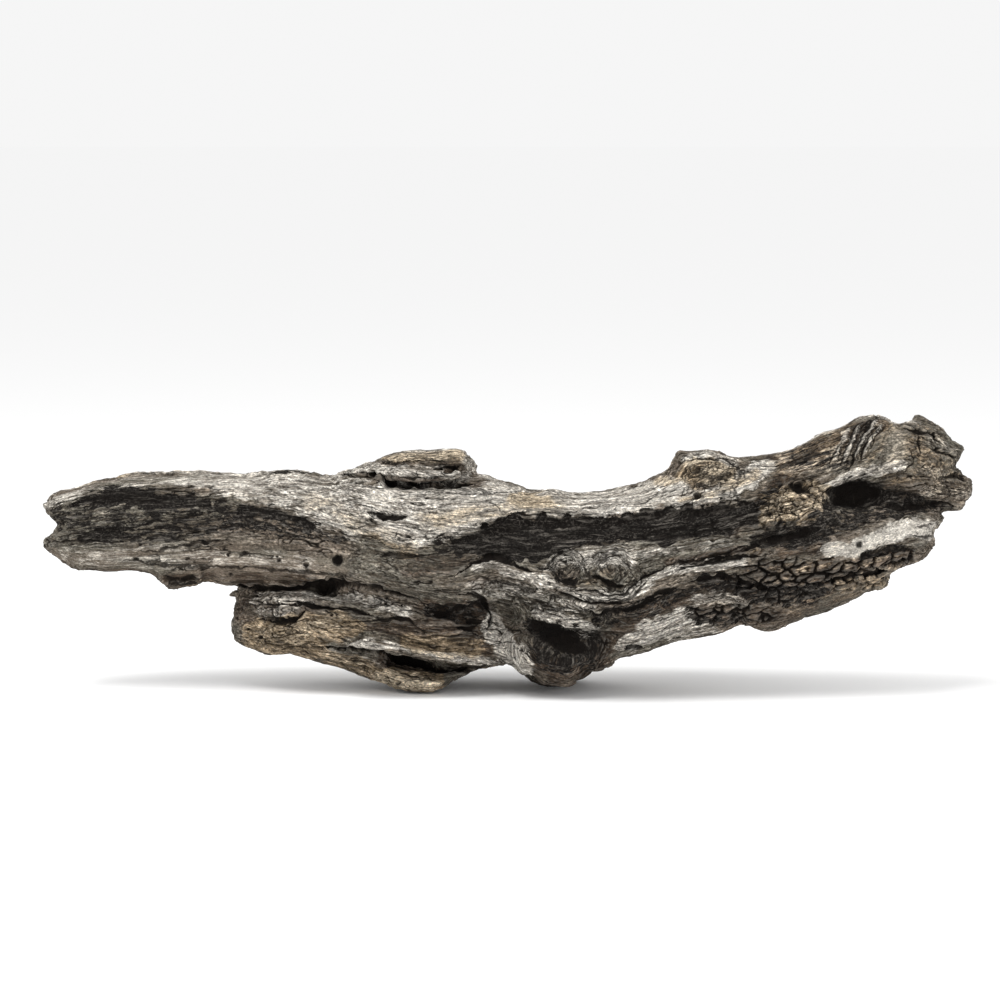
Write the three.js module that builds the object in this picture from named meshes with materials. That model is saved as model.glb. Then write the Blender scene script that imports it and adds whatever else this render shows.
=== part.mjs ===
// A weathered piece of driftwood, about 560 mm long, as one solid.
//
// The wood is a bundle of grown strands that run from the thin left arm, through the heavy middle, to the
// broken right end. Each strand is a soft tube along X whose centre and half-sizes change from station to
// station. The strands melt into each other, hollows are worn out of them, and the outside is then wrapped
// in a mesh whose cells are long along the grain and short across it.
//
// Millimetres. +X runs along the wood to its broken right end, -Y is the front, +Z is up.
import * as THREE from "three";

// ---- Driving dimensions --------------------------------------------------------------------------------

const CELL = { x: 10, y: 5.3, z: 5.3 }; // the wrapping mesh's cell, long along the grain
const REACH = { x: 300, y: 80, low: -8, high: 180 }; // half-length, half-depth, lowest and highest searched
const STRAND_BLEND = 6; // how softly two strands melt together
const HOLLOW_BLEND = 4; // how softly a hollow's rim is rounded
const END_CAP = 9; // length of a strand's blunt rounded end
const SQUARENESS = 2.6; // 2 is an ellipse, more is boxier
const FILLED = 0.3; // depth given to a corner that is filled in
const BEND = { depth: 12, pace: 105 }; // the slow curve of the whole wood, seen from above
const LUMP = 1.3; // height of the slow swells that break up the smooth strands

// ---- The strands: each station is [x, y, z, half depth, half height] -----------------------------------

const strands = {
  heart: [
    [-268, 0, 100, 17, 15], [-256, 0, 98, 21, 24], [-235, 0, 101, 24, 29], [-200, 0, 101, 26, 30],
    [-165, 0, 99, 29, 31], [-120, 0, 96, 33, 34], [-80, 0, 92, 37, 35], [-40, 0, 88, 40, 36],
    [0, 0, 84, 42, 37], [40, 2, 82, 43, 37], [80, 4, 86, 41, 38], [120, 5, 92, 38, 38],
    [160, 6, 98, 35, 37], [200, 6, 107, 32, 36], [235, 6, 116, 27, 32], [252, 6, 121, 22, 26],
  ],
  left_ledge: [
    [-270, -6, 84, 13, 12], [-250, -9, 81, 19, 12], [-200, -12, 81, 21, 11], [-150, -14, 79, 23, 13],
    [-100, -18, 76, 25, 14], [-60, -22, 72, 25, 15], [-20, -26, 68, 22, 13],
  ],
  left_rim: [
    [-271, 1, 112, 13, 6], [-250, 3, 117, 18, 8], [-200, 4, 121, 21, 11], [-150, 2, 119, 24, 12],
    [-100, 0, 118, 28, 13], [-50, -4, 113, 32, 14], [-15, -4, 113, 30, 13], [5, -4, 109, 30, 13],
    [30, 0, 106, 28, 13], [60, 4, 107, 27, 14], [90, 6, 115, 26, 16], [120, 8, 122, 26, 18],
    [160, 8, 126, 25, 17], [195, 8, 137, 25, 20], [218, 8, 142, 25, 22], [244, 8, 139, 21, 21],
    [263, 6, 139, 13, 10],
  ],
  left_flake: [[-200, -8, 68, 10, 5], [-188, -10, 67, 13, 6], [-176, -8, 68, 10, 5]],
  bark_plate: [
    [-94, 2, 131, 14, 3], [-76, 2, 136, 20, 5], [-54, 3, 138, 22, 6.5], [-38, 4, 139, 20, 6.5],
    [-31, 4, 135, 17, 6],
  ],
  plate_root: [[-90, 12, 122, 12, 8], [-62, 14, 127, 14, 9], [-38, 14, 126, 14, 9]],
  slab: [
    [-155, -2, 46, 20, 16], [-142, -4, 44, 26, 20], [-120, -4, 41, 30, 21], [-80, -6, 39, 32, 22],
    [-40, -6, 38, 33, 21], [-8, 0, 36, 30, 20],
  ],
  slab_lip: [
    [-108, -2, 19, 12, 4], [-90, -4, 15, 20, 6], [-62, -6, 8, 24, 9], [-42, -6, 7, 24, 9],
    [-24, -4, 13, 17, 5], [-8, -2, 18, 10, 3],
  ],
  knot_ridge: [
    [-18, -36, 74, 10, 7], [0, -38, 80, 12, 7], [20, -41, 74, 12, 7], [40, -42, 64, 12, 7],
    [60, -42, 58, 12, 7], [76, -41, 61, 12, 7], [92, -38, 69, 12, 7], [115, -34, 80, 12, 7],
    [145, -29, 89, 12, 7], [165, -25, 91, 10, 6],
  ],
  pale_right: [
    [100, -24, 84, 14, 8], [150, -22, 90, 16, 9], [190, -20, 95, 17, 11], [220, -18, 99, 17, 13],
    [248, -16, 98, 14, 12],
  ],
  cubed_right: [
    [60, -22, 48, 18, 11], [90, -22, 57, 20, 12], [130, -20, 68, 20, 12], [170, -18, 72, 20, 12],
    [210, -16, 79, 18, 11], [236, -14, 87, 14, 9],
  ],
  low_right: [
    [40, -10, 30, 22, 14], [70, -10, 37, 22, 14], [100, -8, 45, 22, 13], [140, -6, 52, 22, 13],
    [180, -4, 57, 20, 12], [218, -4, 69, 16, 9],
  ],
  right_horn: [[205, 2, 126, 22, 13], [245, 1, 121, 18, 12], [269, -1, 118, 13, 9]],
  right_tooth: [[225, 6, 152, 14, 10], [243, 7, 154, 13, 9], [252, 7, 152, 11, 7]],
  back_upper: [
    [-236, 15, 113, 12, 10], [-170, 21, 112, 14, 11], [-100, 27, 110, 17, 12], [-30, 34, 101, 18, 12],
    [40, 40, 95, 18, 12], [100, 38, 104, 17, 14], [160, 33, 120, 16, 15], [215, 26, 138, 13, 15],
    [246, 20, 142, 9, 10],
  ],
  back_middle: [
    [-190, 17, 84, 13, 11], [-130, 23, 80, 16, 12], [-60, 33, 70, 19, 13], [10, 42, 63, 19, 14],
    [80, 40, 72, 18, 14], [150, 31, 88, 16, 13], [210, 23, 108, 12, 11],
  ],
  back_low: [
    [-146, 12, 46, 16, 16], [-100, 20, 42, 19, 19], [-52, 26, 36, 20, 21], [0, 32, 34, 22, 17],
    [50, 32, 38, 20, 18], [100, 26, 54, 17, 15], [160, 20, 70, 14, 13],
  ],
};

// ---- Burls, knots and stubs: [x, y, z, half length, half depth, half height] ----------------------------

const knobs = {
  bulb: [29, -18, 33, 32, 32, 28],
  bulb_foot: [24, -4, 12, 19, 28, 17],
  knot_eye: [54, -41, 75, 24, 12, 13],
  top_knob: [119, 0, 130, 23, 21, 18],
  top_crest: [216, 4, 150, 20, 18, 16],
  back_stub: [84, 50, 88, 21, 17, 19],
  back_burl: [-96, 36, 96, 27, 13, 16],
  back_foot_left: [-54, 27, 14, 21, 17, 17],
  back_foot_right: [33, 34, 14, 19, 18, 18],
  burl: [176, -26, 112, 20, 12, 12],
};

// ---- What weather has worn away: long hollows as strands, short ones as knobs --------------------------

const troughs = {
  left_trough: [
    [-262, -27, 108, 6, 9], [-220, -31, 110, 8, 14], [-170, -34, 109, 8, 13], [-130, -39, 103, 7, 9],
    [-108, -42, 98, 4, 5],
  ],
  dark_band: [
    [-28, -50, 92, 6, 6], [0, -48, 97, 10, 12], [30, -47, 98, 11, 13], [60, -45, 100, 11, 11],
    [90, -43, 103, 10, 10], [130, -41, 105, 9, 8], [160, -38, 103, 7, 6],
  ],
  right_hollow: [
    [190, -32, 118, 8, 4], [205, -29, 121, 12, 7], [230, -26, 119, 12, 7], [262, -20, 113, 10, 4],
  ],
  slab_gap: [
    [-172, -30, 67, 10, 2], [-120, -38, 63, 10, 3], [-60, -46, 58, 9, 3], [-20, -48, 53, 10, 5],
  ],
  lip_gap: [[-84, -32, 21, 12, 2], [-60, -28, 21, 14, 4], [-30, -28, 19, 14, 4], [2, -26, 19, 12, 3]],
  plate_gap: [[-92, -22, 130, 7, 2], [-60, -24, 127, 8, 3], [-34, -24, 126, 7, 2]],
  back_furrow: [
    [-200, 30, 99, 6, 4], [-120, 38, 97, 8, 5], [-40, 50, 86, 10, 7], [30, 59, 79, 10, 6],
    [60, 60, 80, 7, 4],
  ],
  back_groove: [[110, 54, 90, 8, 5], [160, 47, 103, 9, 6], [205, 38, 122, 8, 5]],
  back_split: [
    [-130, 36, 62, 7, 4], [-60, 46, 54, 9, 5], [0, 56, 48, 10, 5], [70, 52, 55, 8, 5],
    [120, 42, 70, 6, 4],
  ],
};
const pits = {
  stub_heart: [84, 67, 90, 10, 9, 8],
  left_bite: [-282, 0, 102, 12, 40, 9],
  bulb_hollow: [40, -54, 38, 20, 13, 11],
  crease: [-9, -42, 32, 6, 16, 22],
  worm_cave: [-109, -37, 65, 9, 10, 5],
  right_bite: [282, 0, 132, 13, 40, 6],
  crest_notch: [236, 4, 170, 7, 30, 8],
};

// ---- Distance fields: negative inside the wood ---------------------------------------------------------

// The value between a and b of a smooth curve through p, a, b, q.
function between(p, a, b, q, t) {
  return 0.5 * (2 * a + (b - p) * t + (2 * p - 5 * a + 4 * b - q) * t * t + (3 * a - p - 3 * b + q) * t ** 3);
}

// Centre and half-sizes of a strand at x, held at its end stations beyond them.
function sectionAt(stations, x) {
  const last = stations.length - 1;
  let i = 0;
  while (i < last - 1 && x > stations[i + 1][0]) i += 1;
  const [p, a, b, q] = [Math.max(i - 1, 0), i, i + 1, Math.min(i + 2, last)].map((n) => stations[n]);
  const t = THREE.MathUtils.clamp((x - a[0]) / (b[0] - a[0]), 0, 1);
  return [1, 2, 3, 4].map((k) => between(p[k], a[k], b[k], q[k], t));
}

function strandDistance(stations, x, y, z) {
  const [yc, zc, halfDepth, halfHeight] = sectionAt(stations, x);
  const past = Math.max(stations[0][0] - x, x - stations[stations.length - 1][0], 0) / END_CAP;
  const across = Math.abs((y - yc) / halfDepth) ** SQUARENESS + Math.abs((z - zc) / halfHeight) ** SQUARENESS;
  return ((across + past ** SQUARENESS) ** (1 / SQUARENESS) - 1) * Math.min(halfDepth, halfHeight);
}

function knobDistance([xc, yc, zc, rx, ry, rz], x, y, z) {
  return (Math.hypot((x - xc) / rx, (y - yc) / ry, (z - zc) / rz) - 1) * Math.min(rx, ry, rz);
}

function softMin(a, b, blend) {
  const h = Math.max(blend - Math.abs(a - b), 0) / blend;
  return Math.min(a, b) - (h * h * blend) / 4;
}

function swells(x, y, z) {
  return (
    Math.sin(x * 0.045 + z * 0.09) * Math.sin(y * 0.11 + x * 0.021 + 1.3) +
    0.6 * Math.sin(z * 0.19 - x * 0.033 + 0.7) * Math.sin(y * 0.17 + 2.1)
  );
}

function wood(x, straightY, z) {
  const y = straightY + BEND.depth * Math.sin(x / BEND.pace);
  let d = 1e3;
  for (const s of Object.values(strands)) d = softMin(d, strandDistance(s, x, y, z), STRAND_BLEND);
  for (const k of Object.values(knobs)) d = softMin(d, knobDistance(k, x, y, z), STRAND_BLEND);
  for (const t of Object.values(troughs)) d = -softMin(-d, strandDistance(t, x, y, z), HOLLOW_BLEND);
  for (const p of Object.values(pits)) d = -softMin(-d, knobDistance(p, x, y, z), HOLLOW_BLEND);
  // The lowest humps are worn flat where the wood stands.
  return Math.max(d + LUMP * swells(x, y, z), -z);
}

// ---- Wrapping the wood in a mesh -----------------------------------------------------------------------

// Where wood meets wood only across a corner of a cell's face, the surface would touch itself along a line.
// Such a corner is filled in, until none is left.
function fillPinches(value, index) {
  const step = [index(1, 0, 0), index(0, 1, 0), index(0, 0, 1)];
  let filled = true;
  while (filled) {
    filled = false;
    for (const [a, b] of [[0, 1], [0, 2], [1, 2]])
      for (let n = 0; n + step[a] + step[b] < value.length; n++) {
        const [here, overA, overB, over] = [n, n + step[a], n + step[b], n + step[a] + step[b]];
        const pinched = value[here] < 0 === value[over] < 0 && value[overA] < 0 === value[overB] < 0;
        if (!pinched || value[here] < 0 === value[overA] < 0) continue;
        const [p, q] = value[here] < 0 ? [overA, overB] : [here, over];
        value[value[p] < value[q] ? p : q] = -FILLED;
        filled = true;
      }
  }
}

// Each cell that the surface passes through gets one vertex, at the middle of the surface's crossings of the
// cell's edges, and each grid edge that it crosses gets one quad, joining the four cells around that edge.
function wrapped(distance) {
  const size = [
    Math.ceil((2 * REACH.x) / CELL.x) + 1,
    Math.ceil((2 * REACH.y) / CELL.y) + 1,
    Math.ceil((REACH.high - REACH.low) / CELL.z) + 1,
  ];
  const place = (i, j, k) => [-REACH.x + i * CELL.x, -REACH.y + j * CELL.y, REACH.low + k * CELL.z];
  const index = (i, j, k) => i + size[0] * (j + size[1] * k);
  const value = new Float64Array(size[0] * size[1] * size[2]);
  for (let k = 0; k < size[2]; k++)
    for (let j = 0; j < size[1]; j++)
      for (let i = 0; i < size[0]; i++) value[index(i, j, k)] = distance(...place(i, j, k));

  fillPinches(value, index);

  const corners = [0, 1, 2, 3, 4, 5, 6, 7].map((c) => [c & 1, (c >> 1) & 1, c >> 2]);
  const edges = corners.flatMap((a, m) =>
    corners.map((b, n) => [m, n]).filter(([p, q]) => p < q && [1, 2, 4].includes(p ^ q)),
  );
  const vertexOf = new Map();
  const positions = [];
  for (let k = 0; k < size[2] - 1; k++)
    for (let j = 0; j < size[1] - 1; j++)
      for (let i = 0; i < size[0] - 1; i++) {
        const values = corners.map(([a, b, c]) => value[index(i + a, j + b, k + c)]);
        const crossed = edges.filter(([p, q]) => values[p] < 0 !== values[q] < 0);
        if (!crossed.length) continue;
        const middle = new THREE.Vector3();
        for (const [p, q] of crossed) {
          const t = values[p] / (values[p] - values[q]);
          middle.add(new THREE.Vector3(...corners[p]).lerp(new THREE.Vector3(...corners[q]), t));
        }
        middle.divideScalar(crossed.length);
        vertexOf.set(index(i, j, k), positions.length / 3);
        positions.push(...place(i + middle.x, j + middle.y, k + middle.z));
      }

  const faces = [];
  const quad = (a, b, c, d, inward) => faces.push(...(inward ? [a, b, c, a, c, d] : [a, c, b, a, d, c]));
  for (let k = 1; k < size[2] - 1; k++)
    for (let j = 1; j < size[1] - 1; j++)
      for (let i = 1; i < size[0] - 1; i++) {
        const inside = value[index(i, j, k)] < 0;
        const cell = (a, b, c) => vertexOf.get(index(i - a, j - b, k - c));
        if (inside !== value[index(i + 1, j, k)] < 0)
          quad(cell(0, 1, 1), cell(0, 0, 1), cell(0, 0, 0), cell(0, 1, 0), inside);
        if (inside !== value[index(i, j + 1, k)] < 0)
          quad(cell(1, 0, 1), cell(1, 0, 0), cell(0, 0, 0), cell(0, 0, 1), inside);
        if (inside !== value[index(i, j, k + 1)] < 0)
          quad(cell(1, 1, 0), cell(0, 1, 0), cell(0, 0, 0), cell(1, 0, 0), inside);
      }
  const geometry = new THREE.BufferGeometry();
  geometry.setAttribute("position", new THREE.Float32BufferAttribute(positions, 3));
  geometry.setIndex(faces);
  return geometry;
}

// The origin is under the middle of the wood's box, on the surface that it stands on.
function standOnOrigin(geometry) {
  geometry.computeBoundingBox();
  const { min, max } = geometry.boundingBox;
  geometry.translate(-(min.x + max.x) / 2, -(min.y + max.y) / 2, -min.z);
  geometry.computeVertexNormals();
  return geometry;
}

function driftwood() {
  const material = new THREE.MeshStandardMaterial({ color: 0x8b857b, roughness: 0.9, metalness: 0 });
  const mesh = new THREE.Mesh(standOnOrigin(wrapped(wood)), material);
  mesh.name = "driftwood";
  return mesh;
}

const object = new THREE.Group();
object.add(driftwood());
export default object;
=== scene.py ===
"""A weathered piece of driftwood on a pale floor: one length of old root, about 560 mm long."""
import math

import bmesh
import bpy
import numpy as np
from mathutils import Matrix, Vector


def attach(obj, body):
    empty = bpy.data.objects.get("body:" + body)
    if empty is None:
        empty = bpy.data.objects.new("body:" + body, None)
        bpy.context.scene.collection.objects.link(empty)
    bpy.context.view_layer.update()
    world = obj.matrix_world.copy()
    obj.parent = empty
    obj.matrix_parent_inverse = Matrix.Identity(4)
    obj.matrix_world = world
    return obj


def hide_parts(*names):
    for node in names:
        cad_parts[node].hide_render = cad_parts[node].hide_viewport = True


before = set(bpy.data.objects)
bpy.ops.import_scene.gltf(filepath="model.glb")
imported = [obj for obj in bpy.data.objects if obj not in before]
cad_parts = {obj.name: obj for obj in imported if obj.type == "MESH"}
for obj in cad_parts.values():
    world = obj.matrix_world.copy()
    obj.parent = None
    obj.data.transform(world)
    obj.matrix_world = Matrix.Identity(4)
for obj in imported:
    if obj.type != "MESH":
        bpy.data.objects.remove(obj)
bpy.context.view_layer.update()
MM = 0.001

# ---- Where one stands ---------------------------------------------------------------------------------
# The wood is seen square on and a little from above, through a long lens. Places on its front are given
# below as that view shows them: millimetres to the right of its middle, and millimetres up.

LOOK_DOWN = math.radians(6)
LENS = 135
SENSOR = 36
VIEW_WIDTH = 600 * MM
VIEW_MIDDLE = (-5.1 * MM, 114.9 * MM)

distance = VIEW_WIDTH * LENS / SENSOR
towards_camera = Vector((0, -math.cos(LOOK_DOWN), math.sin(LOOK_DOWN)))
camera = bpy.data.objects.new("camera", bpy.data.cameras.new("camera"))
camera.data.lens = LENS
camera.data.sensor_width = SENSOR
camera.data.clip_end = 50
camera.location = Vector((VIEW_MIDDLE[0], 0, VIEW_MIDDLE[1])) + towards_camera * distance
camera.rotation_euler = (math.pi / 2 - LOOK_DOWN, 0, 0)
bpy.context.scene.collection.objects.link(camera)
bpy.context.scene.camera = camera

view_point = np.array(camera.location) / MM
view_ahead = -np.array(towards_camera)
view_up = np.array((0, math.sin(LOOK_DOWN), math.cos(LOOK_DOWN)))
view_middle = np.array((VIEW_MIDDLE[0], VIEW_MIDDLE[1] * math.cos(LOOK_DOWN))) / MM


def as_seen(place):
    """How far across and up each of these places shows in the front view, all in millimetres."""
    offset = place - view_point
    nearness = distance / MM / (offset @ view_ahead)
    return view_middle[0] + offset[:, 0] * nearness, view_middle[1] + offset @ view_up * nearness


def seen_at(across, up, y):
    """The place at depth y that the front view shows at (across, up), all in millimetres."""
    ray = view_ahead + (across - view_middle[0]) / (distance / MM) * np.array((1, 0, 0))
    ray = ray + (up - view_middle[1]) / (distance / MM) * view_up
    return view_point + ray * (y - view_point[1]) / ray[1]

# ---- The bare wood ------------------------------------------------------------------------------------
# A bundle of old root strands grown into one another and worn round by water. It starts from the smooth
# body; the thin flakes and broken slivers that stand off it are added, and the whole is one fine skin.

# How fine the skin's mesh is, and how many passes round it off and even out the way it faces.
SKIN = 0.8 * MM
ROUNDING = 18
CALMING = 8


def smooth_track(points, pieces=6):
    """Points along a smooth curve through the given ones, which may carry a width as a last number."""
    p = np.array([points[0], *points, points[-1]], float)
    t = np.linspace(0, 1, pieces, endpoint=False)[:, None]
    runs = []
    for a, b, c, d in zip(p, p[1:], p[2:], p[3:]):
        runs.append(0.5 * (2 * b + (c - a) * t + (2 * a - 5 * b + 4 * c - d) * t**2
                           + (3 * b - a - 3 * c + d) * t**3))
    return np.vstack([*runs, p[-1:]])


def flake(bm, points, depth, sides=10):
    """A closed sliver along points of (across, up, y, half height); depth is its half depth over that."""
    rings = []
    for across, up, y, half in smooth_track(points):
        middle = Vector(seen_at(across, up, y)) * MM
        ring = []
        for k in range(sides):
            turn = math.tau * k / sides
            offset = Vector((0, depth * math.cos(turn), math.sin(turn))) * half * MM
            ring.append(bm.verts.new(middle + offset))
        rings.append(ring)
    for a, b in zip(rings, rings[1:]):
        for k in range(sides):
            bm.faces.new((a[k], b[k], b[(k + 1) % sides], a[(k + 1) % sides]))
    bm.faces.new(rings[0])
    bm.faces.new(rings[-1][::-1])


def evaluated(source, name, *modifiers):
    """A plain mesh object made from source with these modifiers, given as (type, settings)."""
    for kind, settings in modifiers:
        modifier = source.modifiers.new(kind, kind)
        for setting, value in settings.items():
            setattr(modifier, setting, value)
    graph = bpy.context.evaluated_depsgraph_get()
    made = bpy.data.objects.new(name, bpy.data.meshes.new_from_object(source.evaluated_get(graph)))
    bpy.context.scene.collection.objects.link(made)
    bpy.data.objects.remove(source)
    return made


bm = bmesh.new()
bm.from_mesh(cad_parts["driftwood"].data)
bmesh.ops.remove_doubles(bm, verts=bm.verts, dist=1e-6)
# The thin chip on the left arm's top, and the plate of old bark with its two lower leaves.
flake(bm, [(-147, 130, 4, 1), (-138, 131.6, 4, 1.3), (-126, 131.4, 4, 1.3), (-116, 129.6, 4, 1)], 5)
flake(bm, [(-104, 130, 0, 1.2), (-92, 132.5, -1, 3), (-78, 134, -2, 4.5), (-66, 135, -2, 5)], 3.4)
flake(bm, [(-80, 129, -14, 2), (-68, 130, -19, 4), (-55, 129, -21, 4.6), (-40, 129, -20, 3.6),
           (-28, 130, -14, 3)], 1.6)
flake(bm, [(-72, 134.5, -8, 2), (-56, 136, -10, 4), (-40, 136, -10, 4), (-28, 134, -7, 3)], 1.6)
flake(bm, [(-74, 138, 0, 3), (-56, 140, 0, 4), (-34, 141.5, 0, 4.4), (-25, 139, 0, 4)], 4)
flake(bm, [(-150, 58, 4, 2.4), (-160, 58.5, 4, 2), (-167, 57.5, 4, 0.8)], 2)
# The pale tongue over the gap in the slab's lip.
flake(bm, [(-98, 27, -30, 0.8), (-86, 28, -34, 2.6), (-72, 26, -35, 2.4), (-52, 22, -34, 2.4),
           (-30, 18.5, -30, 2.6), (-12, 17, -26, 2), (0, 16, -22, 0.8)], 3)
# The chewed right end: a tooth, slivers and a broken corner.
flake(bm, [(241, 160, 4, 1.5), (245, 161.5, 4, 3), (251, 159, 4, 4), (258, 155, 4, 4), (266, 148, 3, 3)], 2.2)
flake(bm, [(244, 103, -16, 4), (255, 103, -16, 3.6), (261, 103.2, -16, 2.2), (265.5, 104.2, -16, 1.2)], 2.2)
flake(bm, [(246, 96, -17, 3.4), (256, 96, -18, 2), (262, 95, -18, 0.5)], 1.6)
flake(bm, [(240, 86, -20, 4), (252, 87.5, -20, 3.4), (260, 86.5, -20, 1.6)], 2)
flake(bm, [(250, 112, -10, 1), (255, 113, -12, 2.4), (256, 116, -12, 0.4)], 1.4)
bare = bpy.data.objects.new("bare_wood", bpy.data.meshes.new("bare_wood"))
bm.to_mesh(bare.data)
bm.free()
bpy.context.scene.collection.objects.link(bare)
wood = evaluated(bare, "driftwood_weathered", ("REMESH", {"mode": "VOXEL", "voxel_size": SKIN}))


class Skin:
    """The wood's skin as arrays: places in millimetres, and which points are joined."""

    def __init__(self, mesh):
        self.count = len(mesh.vertices)
        flat = np.empty(self.count * 3, np.float32)
        mesh.vertices.foreach_get("co", flat)
        self.place = flat.reshape(-1, 3).astype(float) / MM
        ends = np.empty(len(mesh.edges) * 2, np.int32)
        mesh.edges.foreach_get("vertices", ends)
        self.ends = ends.reshape(-1, 2)
        self.degree = np.bincount(ends, minlength=self.count)[:, None].astype(float)
        corners = np.empty(len(mesh.loops), np.int32)
        mesh.loops.foreach_get("vertex_index", corners)
        self.corners = corners.reshape(-1, 4)

    def spread(self, value, times, share=0.5):
        """Each point's value moved towards the mean of its neighbours' values, several times."""
        a, b = self.ends.T
        for _ in range(times):
            mean = np.empty_like(value)
            for k in range(value.shape[1]):
                mean[:, k] = (np.bincount(a, value[b, k], self.count)
                              + np.bincount(b, value[a, k], self.count))
            value = value + share * (mean / self.degree - value)
        return value

    def normals(self):
        """The way the skin faces at each point."""
        p = self.place[self.corners]
        across = np.cross(p[:, 2] - p[:, 0], p[:, 3] - p[:, 1])
        found = np.empty_like(self.place)
        for k in range(3):
            found[:, k] = sum(np.bincount(self.corners[:, c], across[:, k], self.count) for c in range(4))
        return found / np.maximum(np.linalg.norm(found, axis=1, keepdims=True), 1e-9)


skin = Skin(wood.data)
skin.place = skin.spread(skin.place, ROUNDING)
out = skin.spread(skin.normals(), CALMING)
out /= np.linalg.norm(out, axis=1, keepdims=True)
across, up = as_seen(skin.place)

# Depths, in millimetres: where the back begins, and how gradually the front passes into it.
BACK_FROM = 4
FADE = 20


def nudge(at, by, reach, behind=1.0):
    """Leans the wood near a seen place over by a few millimetres; behind is the share taken at the back."""
    share = np.exp(-((across - at[0]) ** 2 + (up - at[1]) ** 2) / (reach * reach))
    share *= behind + (1 - behind) * np.clip((BACK_FROM - skin.place[:, 1]) / FADE, 0, 1)
    moves[:, 0] += share * by[0]
    moves[:, 2] += share * by[1]


moves = np.zeros_like(skin.place)
# The left arm's two prongs, its worn lower edge and its top.
for at, by, reach in [
        ((-275, 89), (-5, 1), 8), ((-273, 108), (-1.5, -3), 7), ((-270, 116), (-1.5, 1.2), 7),
        ((-271, 74), (2, 3), 8), ((-248, 68), (0, 3), 13), ((-226, 68), (0, 3), 12),
        ((-203, 64), (0, -5), 7), ((-181, 61), (0, 4), 7)]:
    nudge(at, by, reach)
for x in (-236, -214, -194, -174, -156):
    nudge((x, 134), (0, -2.4), 12)
# The slab's blunt left end.
for at, by, reach in [
        ((-161, 54), (-2, 0), 7), ((-160, 41), (-5, 0), 8), ((-157, 31), (-4.5, -2), 8),
        ((-145, 26), (-1, -5), 9)]:
    nudge(at, by, reach)
# The top, the plate and the saddle beside it.
for at, by, reach in [
        ((-108, 136), (0, -5.5), 12), ((-88, 139), (0, -2.5), 9), ((-46, 147), (0, -2.2), 12),
        ((-13, 128), (0, 2), 6), ((14, 123), (0, -2.5), 9), ((42, 121), (0, -2), 11),
        ((60, 122), (0, -2.2), 11), ((78, 127), (0, -1.5), 10), ((104, 140), (-3, 4), 6),
        ((130, 146), (0, -3), 8), ((140, 143), (0, -1.5), 8)]:
    nudge(at, by, reach)
# The foot of the bulb, the slab's heel, and the long underside of the right arm.
for at, by, reach, *behind in [
        ((10, 0), (4, 6), 8, 0.2), ((26, -3), (0, 6), 12, 0.1), ((48, 3), (-1, 6), 9, 0.2),
        ((70, 17), (-3, 1), 5), ((-22, 6), (0, 3), 8), ((-33, 2), (0, 3.5), 7), ((138, 35), (0, 3.5), 8),
        ((157, 38), (0, -2.5), 8), ((182, 43), (0, 2), 10), ((200, 49), (0, 2.6), 10),
        ((217, 55), (0, 4), 10)]:
    nudge(at, by, reach, *behind)
# The torn right end.
for at, by, reach in [
        ((188, 153), (0, 2), 10), ((233, 165), (0, -3), 6), ((246, 163), (-1, 2), 5),
        ((271, 147), (2.5, 1), 5), ((273, 135), (-5, 0), 6), ((265, 107), (-6, 2), 4),
        ((261, 94), (-5, 0), 8), ((259, 83), (-2.5, 1), 7), ((278, 113), (-3, 1), 5),
        ((276, 126), (2, 1), 5)]:
    nudge(at, by, reach)
skin.place += moves
skin.place[:, 2] = np.maximum(skin.place[:, 2], 0)
across, up = as_seen(skin.place)

# How far each point belongs to the front: none just past the rim, wholly a little way round from it.
PAST_RIM = 0.1
RIM = 0.4
facing = out @ np.array(towards_camera)
front = np.clip((facing + PAST_RIM) / RIM, 0, 1)

# ---- The grain ----------------------------------------------------------------------------------------
# Fibres run from end to end and part round the knots. Listed lines say which way they run; the level
# of a fibre over the wood is then the smooth height that rises at right angles to all of them.

GRAIN_CELL = 3.0
GRAIN_LOW = (-300.0, -25.0)
GRAIN_HIGH = (300.0, 190.0)
MOST_STEPS = 500
TINY = 1e-6
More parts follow.
